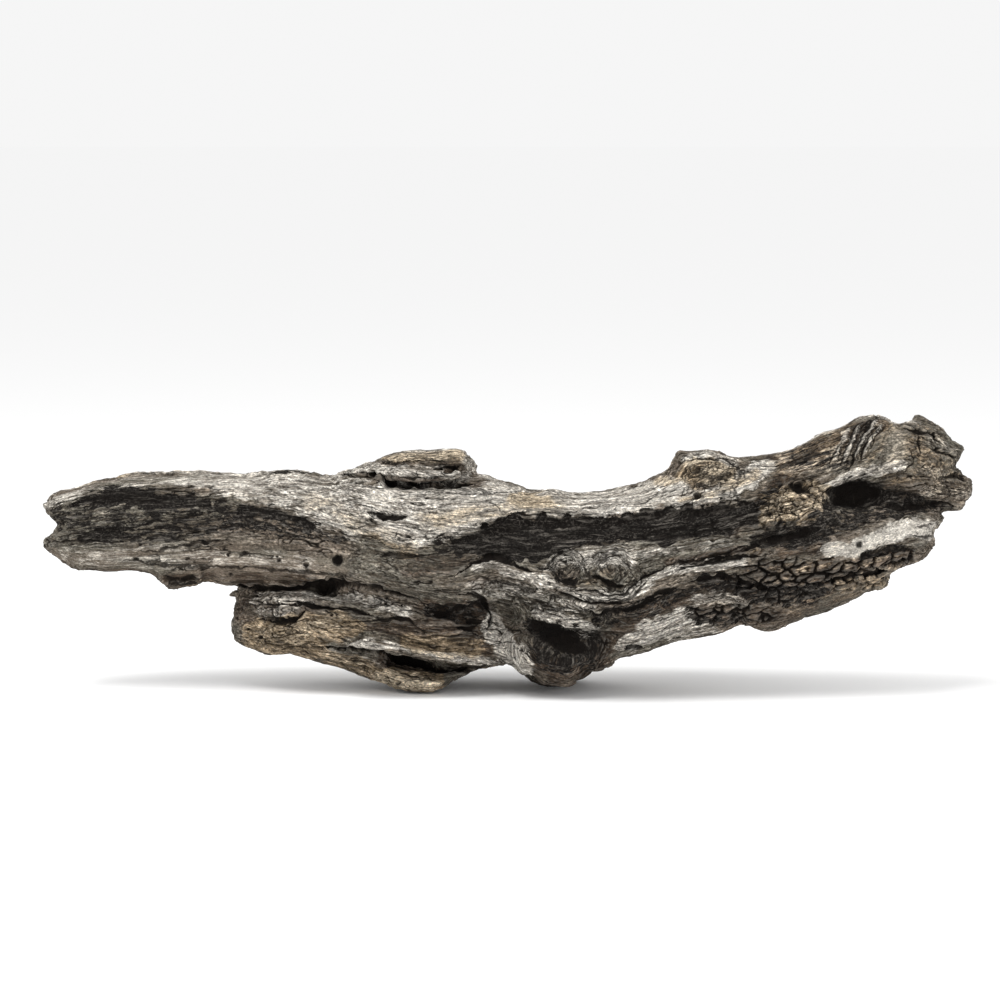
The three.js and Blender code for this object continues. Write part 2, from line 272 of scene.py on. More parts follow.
# A line's pull falls off with the square of the distance, over LINE_REACH, to the power of LINE_FALL.
LINE_REACH = 30
LINE_FALL = 1.6
grain_lines = [
    [(-280, 113), (-245, 124), (-200, 130), (-120, 128), (-100, 126)],
    [(-275, 104), (-230, 108), (-180, 110), (-140, 106), (-115, 97), (-90, 88)],
    [(-278, 88), (-240, 92), (-190, 98), (-150, 100), (-120, 92), (-95, 84)],
    [(-270, 78), (-200, 80), (-140, 80), (-90, 75), (-55, 60), (-40, 52)],
    [(-160, 72), (-120, 70), (-80, 62), (-50, 50)],
    [(-130, 124), (-105, 112), (-85, 102), (-60, 96), (-35, 92)],
    [(-105, 124), (-80, 115), (-55, 108), (-30, 108), (-5, 113)],
    [(-80, 120), (-40, 118), (0, 118), (50, 117), (80, 122), (105, 134)],
    [(-60, 92), (-35, 90), (-10, 98), (15, 107), (50, 104), (90, 110), (140, 118), (165, 132), (185, 146)],
    [(-60, 80), (-30, 84), (0, 88), (30, 92), (60, 95), (100, 96), (150, 106)],
    [(-60, 66), (-35, 68), (-20, 76), (-5, 79), (10, 73), (22, 68), (40, 61), (62, 58), (78, 63), (95, 73),
     (130, 78), (160, 84), (200, 96)],
    [(24, 74), (36, 84), (55, 88), (75, 86), (100, 88), (130, 92), (170, 98), (215, 104)],
    [(-20, 62), (0, 60), (20, 56), (40, 52), (60, 50), (80, 54), (110, 66), (150, 76), (200, 80), (240, 90)],
    [(0, 46), (20, 44), (38, 38), (52, 38), (75, 42), (105, 56), (140, 62), (180, 68), (225, 76)],
    [(40, 14), (70, 26), (100, 38), (140, 46), (180, 50), (228, 66)],
    [(50, 20), (80, 34), (110, 46), (150, 52), (190, 56)],
    [(-165, 50), (-130, 50), (-90, 46), (-50, 42), (-20, 38)],
    [(-160, 34), (-120, 34), (-80, 30), (-40, 22), (0, 16)],
    [(-150, 25), (-110, 22), (-80, 12), (-50, 4)],
    [(-60, 8), (-40, 10), (-10, 14)],
    [(-6, 44), (-2, 30), (8, 16), (18, 8)],
    [(150, 118), (175, 132), (195, 134), (215, 150), (224, 164)],
    [(190, 120), (205, 128), (235, 132), (275, 124)],
    [(200, 112), (240, 112), (276, 114)],
    [(205, 90), (235, 99), (258, 100)],
    [(225, 150), (245, 148), (268, 144)],
]


def grain_levels():
    """The level, in millimetres, on a grid over the front view, with the grid's first corner."""
    low, high = np.array(GRAIN_LOW), np.array(GRAIN_HIGH)
    size = ((high - low) / GRAIN_CELL).astype(int) + 1
    gx, gh = np.meshgrid(*(np.arange(size[k]) * GRAIN_CELL + low[k] for k in (0, 1)), indexing="ij")
    flow = np.zeros((*size, 2))
    flow[..., 0] = TINY
    for line in grain_lines:
        track = smooth_track(line, 4)
        for a, b in zip(track, track[1:]):
            step = b - a
            apart = (gx - (a[0] + b[0]) / 2) ** 2 + (gh - (a[1] + b[1]) / 2) ** 2
            near = 1 / (apart + LINE_REACH) ** LINE_FALL
            near *= np.linalg.norm(step)
            flow += near[..., None] * step / np.linalg.norm(step)
    flow /= np.linalg.norm(flow, axis=2, keepdims=True)
    rise_x, rise_h = -flow[..., 1], flow[..., 0]

    def slope(level):
        return np.diff(level, axis=0), np.diff(level, axis=1)

    def gather(sx, sh):
        total = np.zeros(size)
        total[:-1] -= sx
        total[1:] += sx
        total[:, :-1] -= sh
        total[:, 1:] += sh
        return total

    # The level that best fits those slopes, found step by step along directions that don't undo one another.
    wanted = gather((rise_x[1:] + rise_x[:-1]) / 2 * GRAIN_CELL,
                    (rise_h[:, 1:] + rise_h[:, :-1]) / 2 * GRAIN_CELL)
    level = gh.copy()
    rest = wanted - gather(*slope(level))
    search = rest.copy()
    energy = (rest**2).sum()
    for _ in range(MOST_STEPS):
        pulled = gather(*slope(search))
        stride = energy / (search * pulled).sum()
        level += stride * search
        rest -= stride * pulled
        left = (rest**2).sum()
        search = rest + left / energy * search
        energy = left
        if energy < TINY:
            break
    return level, low


def looked_up(table, low, cell, x, y):
    """A grid's value at each (x, y), blended between its four nearest points."""
    u = np.clip((x - low[0]) / cell, 0, table.shape[0] - 1.001)
    v = np.clip((y - low[1]) / cell, 0, table.shape[1] - 1.001)
    i, j = u.astype(int), v.astype(int)
    u, v = u - i, v - j
    return ((table[i, j] * (1 - u) + table[i + 1, j] * u) * (1 - v)
            + (table[i, j + 1] * (1 - u) + table[i + 1, j + 1] * u) * v)


level_table, level_low = grain_levels()
level = looked_up(level_table, level_low, GRAIN_CELL, across, up)

LATTICE = 32


def eased(value):
    """A number from 0 to 1, with both its ends made gentle."""
    return value * value * (3 - 2 * value)


def ripple(points, size, seed):
    """Smooth random numbers from -1 to 1 at points, with swells about size millimetres long."""
    lattice = np.random.default_rng(seed).uniform(-1, 1, (LATTICE, LATTICE, LATTICE))
    q = points / np.array(size, float)
    i = np.floor(q).astype(int)
    f = eased(q - i)
    total = np.zeros(len(q))
    for dx in (0, 1):
        for dy in (0, 1):
            for dz in (0, 1):
                weight = (np.where(dx, f[:, 0], 1 - f[:, 0]) * np.where(dy, f[:, 1], 1 - f[:, 1])
                          * np.where(dz, f[:, 2], 1 - f[:, 2]))
                total += weight * lattice[tuple(((i + (dx, dy, dz)) % LATTICE).T)]
    return total


# The strokes below waver a little, as nothing in old wood is drawn with a ruler.
across_worn = across + 1.3 * ripple(skin.place, (6, 6, 4), 1)
up_worn = up + 1.0 * ripple(skin.place, (9, 6, 3), 2) + 0.8 * ripple(skin.place, (3, 3, 2), 3)
breadth = 1 + 0.45 * ripple(skin.place, (5, 5, 5), 4)

# The grain winds round a knot out to this many times its half size, and fades over this much of it. Where
# the knot is cut off at a height, it fades over millimetres.
KNOT_EDGE = 1.25
KNOT_FADE = 0.45
CUT_FADE = 5


def swirl(middle, half, rings, turn, under=1000):
    """Winds the grain round a knot, below a height: its level climbs with each ring and with the turn."""
    right, rise = (across_worn - middle[0]) / half[0], (up_worn - middle[1]) / half[1]
    ring = np.hypot(right, rise)
    angle = np.arctan2(rise, right)
    inside = np.clip((KNOT_EDGE - ring) / KNOT_FADE, 0, 1) * np.clip(front * 2, 0, 1)
    inside = inside * np.clip((under - up) / CUT_FADE, 0, 1)
    level[:] = level * (1 - inside) + inside * (middle[1] + rings * ring + turn * angle / math.tau)


swirl((62, 73), (12, 11), 13, 9)
swirl((35, 73), (9, 9), 9, -7)
swirl((33, 38), (30, 32), 4, 60, under=37)

# Cuts, raised places and colours are strokes over the wood. Each falls on the side that shows: the front
# first, and the sides that face away later. A tapered stroke narrows to a share of its radius at its tips.
SEAM_REACH = 4.0
MOST_BREADTH = 1.6
THINNEST = 0.05
TIP_SHARE = 0.15
TIP_CURVE = 0.6
FAR = 99.0
shown = front
masks = {name: np.zeros(skin.count)
         for name in ("char", "bleach", "warm", "umber", "cubes", "hollow_shade", "worn_smooth")}
seam = np.tile((FAR, FAR, 0.0), (skin.count, 1))
seam_shade = np.zeros(skin.count)
carved = np.zeros(skin.count)
raised = np.zeros(skin.count)


def stroke(points, taper=0.0):
    """The skin near a track of (across, up, radius): which of its points, how far off over the radius, how
    far off in millimetres with a sign for the side, and the radius there."""
    track = smooth_track(points)
    reach = track[:, 2].max() * MOST_BREADTH + SEAM_REACH
    low, high = track[:, :2].min(0) - reach, track[:, :2].max(0) + reach
    near = np.flatnonzero((across_worn > low[0]) & (across_worn < high[0]) & (up_worn > low[1])
                          & (up_worn < high[1]) & (shown > 0))
    best = np.full(len(near), FAR)
    side = np.full(len(near), FAR)
    best_radius = np.full(len(near), THINNEST)
    x, y = across_worn[near], up_worn[near]
    count = len(track) - 1
    for n, (a, b) in enumerate(zip(track, track[1:])):
        dx, dy = b[:2] - a[:2]
        t = np.clip(((x - a[0]) * dx + (y - a[1]) * dy) / max(dx * dx + dy * dy, 1e-9), 0, 1)
        radius = (a[2] + (b[2] - a[2]) * t) * breadth[near]
        if taper:
            along = (n + t) / count
            radius = radius * np.clip(np.minimum(along, 1 - along) / taper, TIP_SHARE, 1) ** TIP_CURVE
        radius = np.maximum(radius, THINNEST)
        apart = np.hypot(x - a[0] - t * dx, y - a[1] - t * dy)
        closer = apart / radius < best
        turned = np.where((y - a[1]) * dx - (x - a[0]) * dy < 0, -1.0, 1.0)
        best = np.where(closer, apart / radius, best)
        side = np.where(closer, apart * turned, side)
        best_radius = np.where(closer, radius, best_radius)
    return near, best, side, best_radius


def stain(name, amount, *points, soft=0.5):
    """Colours or marks the wood along points of (across, up, radius)."""
    near, off, _, _ = stroke(points)
    value = eased(np.clip((1 + soft / 2 - off) / soft, 0, 1)) * amount * shown[near]
    masks[name][near] = np.maximum(masks[name][near], value)


def mark_seam(near, side, radius, dark):
    """Keeps, for points nearer to this crack than to any other, how far off it is and how dark its painted
    shade is.
    """
    closer = (np.abs(side) - radius < np.abs(seam[near, 0]) - seam[near, 2]) & (shown[near] > 0.2)
    near, side, radius = near[closer], side[closer], radius[closer]
    seam[near] = np.column_stack([side, np.abs(side), radius])
    seam_shade[near] = dark


FLOOR_SHARE = 0.3
WALL = 0.8
WALL_CURVE = 0.8
MOUTH = 1.25
SHALLOW = 0.15


def groove(width, depth, *points, dark=0.8):
    """A crack along points of (across, up), or of (across, up, half the floor's width); dark paints its floor
    black as painted shade.

    Where the points give no floor, it is a share of the width at the mouth. A thin crack is shallower."""
    track = [(*p[:2], p[2] if len(p) > 2 else width * FLOOR_SHARE) for p in points]
    near, off, side, radius = stroke(track, taper=0.2)
    shape = np.clip(MOUTH - off * WALL, 0, 1) ** WALL_CURVE * np.minimum(1, SHALLOW + radius)
    carved[near] = np.maximum(carved[near], shape * depth * shown[near])
    if dark:
        mark_seam(near, side, radius, dark)


def ridge(width, height, *points):
    """A raised fold along points of (across, up), rounded at its sides and run out at its ends."""
    near, off, _, _ = stroke([(*p[:2], width / 2) for p in points], taper=0.25)
    value = eased(np.clip(1.2 - off, 0, 1)) * height * shown[near]
    raised[near] = np.maximum(raised[near], value)


HOLE_MARGIN = 3
HOLE_LIP = 1.3


def worm_hole(x, h, radius, depth=2.5):
    """A round hole left by a beetle or a worm, black inside with painted shade."""
    reach = radius + HOLE_MARGIN
    near = np.flatnonzero((np.abs(across - x) < reach) & (np.abs(up - h) < reach) & (shown > 0))
    off = np.hypot(across[near] - x, up[near] - h)
    carved[near] = np.maximum(carved[near], np.clip(HOLE_LIP - off / radius, 0, 1) * depth)
    mark_seam(near, off, np.full(len(near), radius), 1.0)


HOLLOW_EDGE = 1.4
HOLLOW_FADE = 1.2


def hollow(x, h, half_width, half_height, depth, dark=0.0):
    """A sunken place with soft edges, blackened inside with painted shade by dark."""
    near = np.flatnonzero((np.abs(across - x) < half_width * 2) & (np.abs(up - h) < half_height * 2)
                          & (shown > 0))
    off = np.hypot((across_worn[near] - x) / half_width, (up_worn[near] - h) / half_height)
    shape = eased(np.clip((HOLLOW_EDGE - off) / HOLLOW_FADE, 0, 1)) * shown[near]
    carved[near] = np.maximum(carved[near], shape * depth)
    masks["hollow_shade"][near] = np.maximum(masks["hollow_shade"][near], shape * dark)

# ---- The left arm -------------------------------------------------------------------------------------
# A thick root that ends in two worn prongs. A long charred hollow runs along it, between a bleached upper
# edge and a smooth grey lower ledge with fine checks and worm holes.

stain("char", 0.58, (-268, 104, 8), (-250, 105, 12), (-236, 108, 15), (-215, 105, 14), (-195, 105, 13),
      (-175, 104, 10), (-155, 102, 8), (-140, 101, 8), (-125, 97, 6), (-112, 94, 4), (-98, 90, 2))
stain("char", 1.3, (-262, 112, 2), (-246, 116, 4), (-236, 118, 6), (-222, 117, 6), (-206, 115, 4),
      (-180, 112, 2))
# Painted shade deep in the charred hollow.
stain("hollow_shade", 0.7, (-256, 114, 2), (-246, 116, 4), (-236, 118, 5), (-222, 117, 5), (-206, 115, 3), soft=1.2)
stain("char", 0.9, (-255, 93, 3), (-235, 94, 4), (-215, 92, 3), (-200, 93, 3))
stain("char", 1.2, (-160, 107, 4), (-145, 106, 4), (-130, 103, 3), (-118, 98, 2))
stain("bleach", 0.6, (-277, 112, 4), (-268, 115, 4), (-258, 119, 3))
stain("bleach", 0.34, (-277, 113, 3), (-262, 119, 3), (-245, 125, 3), (-225, 128, 4), (-205, 127, 4))
stain("bleach", 0.55, (-200, 127, 3), (-180, 125, 5))
stain("bleach", 0.68, (-175, 124, 6), (-150, 121, 8), (-130, 117, 10), (-112, 107, 11), (-95, 98, 7))
stain("worn_smooth", 0.9, (-266, 80, 6), (-230, 78, 8), (-190, 75, 9), (-150, 72, 9), (-125, 71, 6))
stain("bleach", 0.27, (-268, 80, 6), (-240, 80, 8), (-200, 79, 8), (-160, 80, 8), (-120, 76, 6), soft=0.8)
stain("worn_smooth", 1.0, (-270, 80, 7), (-240, 79, 8), (-200, 79, 8), (-160, 80, 9), (-125, 78, 8),
      (-100, 74, 6), soft=0.6)
stain("worn_smooth", 0.5, (-276, 113, 3), (-250, 123, 4), (-220, 128, 4), (-180, 127, 4), (-150, 124, 5))
groove(1.6, 1.6, (-278, 88), (-262, 90), (-245, 90), (-228, 90))
groove(1.4, 1.3, (-222, 84), (-212, 84), (-200, 87), (-186, 89), (-168, 91))
groove(1.5, 2.2, (-218, 74), (-212, 74), (-195, 73), (-175, 73), (-155, 73), (-140, 71.5), (-115, 70),
       (-98, 68))
groove(1.2, 1.0, (-272, 92), (-250, 96), (-225, 99), (-200, 103), (-165, 109))
groove(1.2, 1.2, (-205, 91), (-185, 95), (-165, 99), (-148, 101))
groove(1.0, 1.0, (-240, 102), (-210, 106), (-180, 108))
groove(1.0, 0.9, (-211, 81), (-209, 78), (-209, 75.5))
groove(0.9, 0.8, (-235, 76), (-215, 77), (-195, 79), (-180, 79))
groove(0.9, 0.8, (-195, 85), (-178, 86), (-160, 84), (-140, 82))
groove(0.9, 1.0, (-135, 86), (-129, 84.6), (-124, 85))
groove(1.1, 1.2, (-127, 82), (-121, 80.5))
groove(1.3, 1.2, (-162, 82), (-159, 84.5))
groove(1.0, 0.9, (-119, 71), (-105, 69.5), (-95, 68.5))
SMALL_HOLE = 0.75
for x, h, size in [(-224, 77.5, 1), (-193, 79, 0.8), (-197, 71, 0.8), (-184, 71, 0.9), (-168, 82, 1.0),
                   (-167, 67, 0.9), (-138, 78, 1), (-122, 75, 1.4), (-121, 71.5, 0.8), (-158, 83, 1.1),
                   (-139, 80.5, 0.7), (-170, 87, 0.8)]:
    worm_hole(x, h, SMALL_HOLE * size)
worm_hole(-103, 78.5, 1.5, 5)
groove(2.4, 2.4, (-207, 67.5, 0.4), (-198, 65.5, 0.5), (-186, 67, 0.3), dark=0.9)
groove(2.2, 2.0, (-204, 63.5, 0.4), (-194, 62.5, 0.6), (-186, 64, 0.4), dark=0.9)
stain("umber", 0.8, (-205, 66, 3), (-190, 65.5, 3), (-178, 67, 1.5), soft=0.9)

# ---- The pale middle ----------------------------------------------------------------------------------
# The widest part of the wood, where arm, slab and trunk have grown together. Sun has bleached it nearly
# white, and its fibres sweep down from the left and up to the right.

stain("bleach", 0.62, (-150, 124, 6), (-120, 120, 11), (-90, 114, 15))
stain("bleach", 0.85, (-75, 112, 13), (-60, 109, 17), (-30, 111, 14), (0, 114, 12), (30, 112, 9),
      (60, 112, 9), (85, 117, 8), (100, 122, 7))
stain("bleach", 0.8, (-70, 95, 6), (-50, 92, 6), (-34, 95, 4), (-15, 100, 3))
stain("warm", 1.1, (2, 115, 3), (14, 114, 5), (24, 113, 3), soft=0.9)
stain("warm", 0.6, (90, 125, 3), (98, 126, 3), soft=0.8)
stain("warm", 0.35, (-120, 112, 6), (-105, 108, 6), (-60, 84, 6), soft=0.9)
groove(2.0, 4.0, (-84, 107, 0.6), (-76, 105.5, 1.0), (-72, 104.5, 1.8), (-66, 104, 1.9), (-62, 104.5, 1.9),
       dark=1)
groove(1.2, 1.6, (34, 105), (44, 108.5), (52, 111), (61, 112))
groove(1.2, 1.6, (75, 111), (85, 115), (95, 121))
groove(1.2, 1.2, (-100, 99), (-92, 97), (-84, 99))
groove(1.0, 1.0, (-60, 98), (-50, 96.5), (-40, 97))
groove(1.0, 1.0, (-30, 96.5), (-20, 97.5), (-8, 99.5))
groove(0.9, 0.9, (-48, 118), (-30, 119), (0, 119), (25, 119))
groove(1.0, 0.9, (-90, 124), (-70, 122), (-40, 121), (-10, 121))
groove(1.6, 2.2, (-76, 81, 0.6), (-69, 82, 1.2), (-62, 81, 0.9), (-52, 81, 0.7))
groove(1.4, 1.6, (-72, 79), (-62, 80), (-50, 81), (-40, 82.5))
groove(2.0, 2.0, (-75, 77), (-70, 74), (-66, 71.5))
groove(1.2, 1.3, (-67, 94), (-67.5, 91))
groove(1.2, 1.0, (-9, 112), (-6, 109))
stain("warm", 0.5, (-50, 103, 6), (-20, 106, 6), (10, 110, 5), (30, 111, 5), soft=1.2)
ridge(9, 1.6, (22, 120), (27, 120), (31, 119))

# ---- The bark plate -----------------------------------------------------------------------------------
# A slab of old outer wood still holding on at the top: brown above and grey at its edge, with a long
# gap under it painted black as its shadow.

stain("warm", 0.75, (-74, 141, 3), (-60, 141, 4), (-40, 141.5, 4), (-30, 140, 4))
stain("umber", 0.2, (-98, 132, 3), (-80, 134, 4), (-60, 132, 5), (-40, 131, 4), (-28, 133, 5))
stain("bleach", 0.75, (-98, 132, 2), (-82, 134, 3), (-70, 132, 5), (-50, 131, 5), (-36, 129, 4),
      (-26, 128, 3))
stain("bleach", 0.6, (-70, 141, 3), (-50, 142, 4), (-28, 142, 4), (-22, 136, 4), (-14, 129, 4))
# The gap under the plate, painted black as its shadow.
groove(3.0, 6.0, (-100, 130.5, 0.8), (-88, 130.5, 1.2), (-78, 129, 1.4), (-70, 126, 2.0), (-58, 124, 2.4),
       (-45, 123, 2.2), (-33, 124, 2.4), (-22, 124.5, 1.2), dark=1)
groove(1.2, 1.0, (-76, 137), (-64, 137.5), (-50, 138), (-38, 137))
groove(2.6, 3.0, (-39, 132, 1), (-35, 133, 2), (-31, 134, 1.2), dark=1)
groove(1.4, 1.8, (-56, 131), (-55, 127.5))
groove(1.4, 1.8, (-50, 128), (-42, 128), (-34, 129))
stain("char", 0.7, (-144, 132, 1.8), (-130, 132.2, 1.8), (-118, 131, 1.6))

# ---- The slab -----------------------------------------------------------------------------------------
# A second, lower layer of warm brown wood, split from the arm by a long gap painted black as its shadow. Its
# leaves are peeling, and a pale tongue hangs over the opening in its lip, whose shadow is painted black too.

# The long gap, painted black as its shadow.
groove(4.0, 5.0, (-170, 60, 0.6), (-160, 61.5, 0.8), (-148, 61, 0.9), (-132, 61, 1.0), (-122, 61.5, 1.2),
       (-116, 62, 2.6), (-110, 62, 4.0), (-104, 63, 3.4), (-98, 64, 1.0), (-88, 62, 1.1), (-83, 61.5, 1.5),
       (-79, 61, 2.2), (-75, 59.5, 1.0), (-64, 57, 0.6), (-55, 54, 0.5), (-48, 49, 0.5), dark=1)
hollow(-110, 62, 9, 4.4, 7, dark=0.5)
stain("umber", 0.9, (-163, 65, 2), (-154, 66, 4), (-146, 64, 3))
stain("umber", 0.9, (-136, 65, 2), (-128, 66, 3), (-118, 65, 2))
stain("umber", 0.5, (-160, 48, 8), (-140, 44, 8), (-115, 50, 4))
stain("warm", 1.3, (-152, 33, 7), (-130, 36, 9), (-105, 38, 9), (-90, 38, 5))
stain("bleach", 0.35, (-148, 33, 5), (-128, 35, 7), (-108, 40, 7), (-95, 42, 5), soft=0.9)
stain("warm", 0.75, (-60, 28, 5), (-40, 26, 6), (-22, 26, 7), soft=0.9)
stain("warm", 0.9, (-150, 26, 4), (-130, 24, 4), (-112, 22, 4))
stain("warm", 1.5, (-80, 9, 5), (-62, 6, 6), (-44, 4, 6))
stain("bleach", 1.0, (-78, 9, 4), (-62, 5, 5), (-46, 4, 5), soft=0.9)
stain("bleach", 0.35, (-108, 20, 4), (-92, 17, 5), (-78, 13, 4), soft=0.9)
stain("warm", 0.9, (-108, 19, 4), (-92, 15, 4), (-80, 11, 4))
stain("umber", 0.95, (-60, 30, 6), (-40, 31, 9), (-22, 31, 10), soft=0.9)
stain("bleach", 0.62, (-122, 57, 2), (-100, 55, 3.5), (-80, 53, 4.5), (-62, 48, 4.5))
stain("bleach", 0.45, (-152, 55, 4), (-130, 56, 4), (-118, 54, 3))
stain("bleach", 1.0, (-96, 27, 1.5), (-86, 28, 3.6), (-74, 27, 2.6), (-60, 24.5, 2.0), (-40, 20.5, 2),
      (-22, 18, 2.2), (-6, 17, 1.6))
stain("umber", 0.9, (-90, 38, 2), (-75, 38, 4), (-60, 38, 5), (-52, 36, 4))
stain("umber", 1.0, (-50, 49, 5), (-40, 46, 7), (-30, 46, 8), (-20, 46, 7), (-14, 50, 5))
stain("char", 0.6, (-46, 48, 4), (-34, 47, 5), (-24, 46, 5), (-16, 50, 4))
stain("umber", 1.0, (-28, 40, 6), (-18, 38, 6), (-12, 24, 4))
hollow(-40, 47, 7, 4, 5, dark=0.4)
hollow(-27, 46, 9, 5, 6, dark=0.3)
groove(3.0, 3.0, (-47, 47, 0.8), (-40, 46.5, 1.6), (-33, 48.5, 0.9), (-28, 49.5, 1.6), (-20, 50, 1.3),
       (-15, 47, 0.7), dark=1)
groove(2.0, 2.0, (-26, 44, 0.6), (-20, 42, 1.0), (-15, 42, 0.6), dark=1)
groove(2.4, 3.0, (-30, 58, 0.6), (-22, 57, 1.2), (-16, 54, 1.6), (-12, 50, 1.2), dark=1)
groove(2.0, 2.5, (-31, 38, 0.8), (-25, 37, 1.2), (-20, 38, 0.8), dark=0.9)
groove(2.4, 3.5, (-154, 51.5, 0.4), (-140, 51.5, 0.5), (-124, 52.5, 0.6), (-119, 51, 1.5), (-110, 50, 1.0),
       (-98, 48.5, 1.5), (-88, 47, 1.4), (-80, 44.5, 0.8), dark=1)
groove(2.2, 3.5, (-152, 42.5, 0.3), (-140, 41, 0.6), (-134, 41, 0.8), (-126, 44, 0.7), (-122.5, 48, 1.0),
       dark=1)
groove(1.4, 2.0, (-140, 42, 0.4), (-141, 47, 0.6), (-138, 51, 0.4))
groove(1.4, 1.5, (-139, 44), (-137, 48), (-138, 51))
groove(1.6, 2.0, (-98, 41, 0.3), (-85, 41.5, 0.5), (-74, 42.5, 0.8), (-61, 42.5, 0.8), (-57, 39.5, 0.4),
       (-51, 34, 0.4), dark=1)
groove(1.4, 1.5, (-141, 35), (-134, 36), (-124, 36))
groove(1.4, 1.5, (-150, 30), (-138, 32), (-128, 34), (-118, 34))
groove(1.4, 1.5, (-148, 27), (-138, 26.5), (-129, 28))
groove(1.6, 1.6, (-138, 24), (-130, 25.5), (-120, 24))
groove(1.6, 1.8, (-118, 27), (-110, 24))
groove(1.2, 1.2, (-124, 28), (-112, 30))
groove(1.2, 1.4, (-60, 29), (-50, 27), (-42, 26), (-30, 24))
groove(1.2, 1.4, (-66, 27.5), (-60, 26))
groove(1.2, 1.2, (-110, 37), (-95, 38), (-85, 37))
SLAB_HOLE = 0.85
for x, h, size in [(-151, 57, 1), (-156, 36, 1.4), (-106, 45, 1.5), (-73, 55, 1), (-149, 31, 1.2),
                   (-132, 44, 1), (-92, 57, 0.8), (-64, 51, 0.8)]:
    worm_hole(x, h, SLAB_HOLE * size)
# The opening under the pale tongue, painted black as its shadow.
groove(5.0, 8.0, (-110, 25.5, 0.6), (-103, 24.8, 1.1), (-93, 24.6, 1.4), (-86, 23, 0.7), (-76, 21.5, 0.9),
       (-67, 18.5, 1.6), (-57, 17.5, 2.0), (-47, 15.0, 1.8), (-40, 12.8, 1.1), (-25, 12.8, 1.2),
       (-10, 14.3, 1.1), (-2, 15.6, 0.8), dark=1)
stain("umber", 1.0, (-76, 18, 3), (-66, 14, 4), (-54, 13, 4), (-42, 12, 3))
ridge(11, 4.5, (-147, 47), (-140, 46.5), (-130, 48.5))
stain("bleach", 0.3, (-148, 47, 4), (-140, 46, 4), (-129, 48, 4))
ridge(7, 1.5, (-160, 53), (-130, 56), (-100, 53), (-75, 50))
ridge(10, 1.5, (-120, 40), (-100, 43))
groove(1.0, 1.2, (-100, 18), (-90, 15), (-84, 11))
groove(1.4, 1.4, (-66, 10), (-58, 9), (-52, 5))
groove(1.2, 1.2, (-50, 9), (-44, 6))

# ---- The black band -----------------------------------------------------------------------------------
# Char along the middle of the trunk, soft and matt as suede, under a ragged lip of pale wood that
# overhangs it. Small tongues of char lick up into the lip.

stain("char", 1.3, (-30, 88, 4), (-15, 90, 8), (0, 90, 12), (15, 91, 15), (30, 94, 10), (45, 95.5, 8.5),
      (60, 97, 8), (75, 98, 8.5), (90, 98.5, 10), (110, 100.5, 9.5), (130, 103.5, 8.5), (143, 107, 7),
      soft=0.22)
stain("umber", 0.9, (147, 110, 5), (156, 117, 5), (164, 127, 5), (176, 133, 5))
stain("char", 0.5, (146, 109, 4), (154, 116, 3.5), (162, 125, 3), soft=0.9)
stain("char", 0.6, (-40, 87, 5), (-28, 86, 5), soft=0.9)
stain("umber", 0.6, (-60, 72, 6), (-45, 76, 8), (-32, 78, 6), (-20, 82, 5))
groove(6.0, 2.0, (-24, 91), (-8, 96), (5, 100), (20, 101), (40, 99.5), (60, 100.5), (80, 103), (100, 105),
       (125, 107.5), (145, 113), dark=0)
# Small tongues of char along the lip.
chance = np.random.default_rng(5)
for _ in range(70):
    x = chance.uniform(24, 140)
    h = 102 + max(0, x - 55) * 0.12 + chance.uniform(-0.5, 0.8)
    stain("char", 1.3, (x - 0.6, h - 1.5, 0.9), (x, h + 0.6, 0.7),
          (x + 0.4, h + chance.uniform(0.8, 2.2), 0.3), soft=0.4)
ridge(5, 1.8, (-20, 98), (0, 105), (18, 109), (35, 106), (60, 107), (85, 111), (110, 113), (135, 118),
      (155, 128))
groove(1.6, 1.2, (75, 93), (100, 97), (130, 102), (150, 108))
groove(1.6, 1.2, (60, 90), (85, 91), (110, 94), (125, 97))

# ---- The knot -----------------------------------------------------------------------------------------
# A branch long gone: two lobes of curled rings in an eye, grown from the trunk's own wood, with folded
# fibres flowing past underneath.

stain("umber", 0.2, (34, 74, 9), (46, 72, 9), (62, 74, 11))
stain("bleach", 0.65, (26, 76, 5), (36, 80, 6), (48, 78, 6), (60, 80, 6), (72, 78, 5), soft=0.9)
stain("warm", 0.35, (36, 66, 4), (48, 64, 4), (62, 68, 6))
stain("char", 0.8, (30, 68, 2), (35, 66, 3), (39, 66, 2))
stain("bleach", 0.35, (46, 84, 3), (58, 86, 3), (72, 83, 4), (82, 82, 4), (100, 85, 3.5), (118, 88, 3),
      (135, 90, 2.5))
stain("bleach", 0.6, (-20, 74, 3), (-8, 75, 3), (2, 71, 3), (12, 69, 3), (22, 65, 3), (33, 62, 2.4),
      (45, 60, 2))
stain("bleach", 0.8, (36, 59, 3), (55, 56, 4), (68, 56, 4), (78, 61, 3), (92, 70, 3), (112, 74, 3),
      (140, 76, 3))
groove(2.2, 3.5, (-32, 69, 0.7), (-26, 73, 1.1), (-18, 77.5, 1.2), (-8, 79.5, 1.2), (2, 76, 1.2),
       (10, 73, 1), (16, 71, 0.8), dark=1)
groove(2.4, 4.0, (49, 70, 0.8), (54, 67.5, 1.6), (60, 64, 1.8), (66, 62, 1.2), (70, 63, 0.8), dark=1)
groove(1.8, 2.5, (46, 74), (48, 70), (50, 68), (46, 65), (40, 63))
groove(1.6, 2.5, (24, 70), (28, 66), (34, 63), (42, 62.5))
groove(2.0, 3.0, (36, 60.5), (50, 60.5), (56, 58), (66, 57.5), (72, 60), (78, 66), (86, 71), (94, 74), dark=1)
groove(1.8, 2.5, (46, 56), (54, 54.5), (64, 54), (72, 55.5), (78, 60), (84, 66))
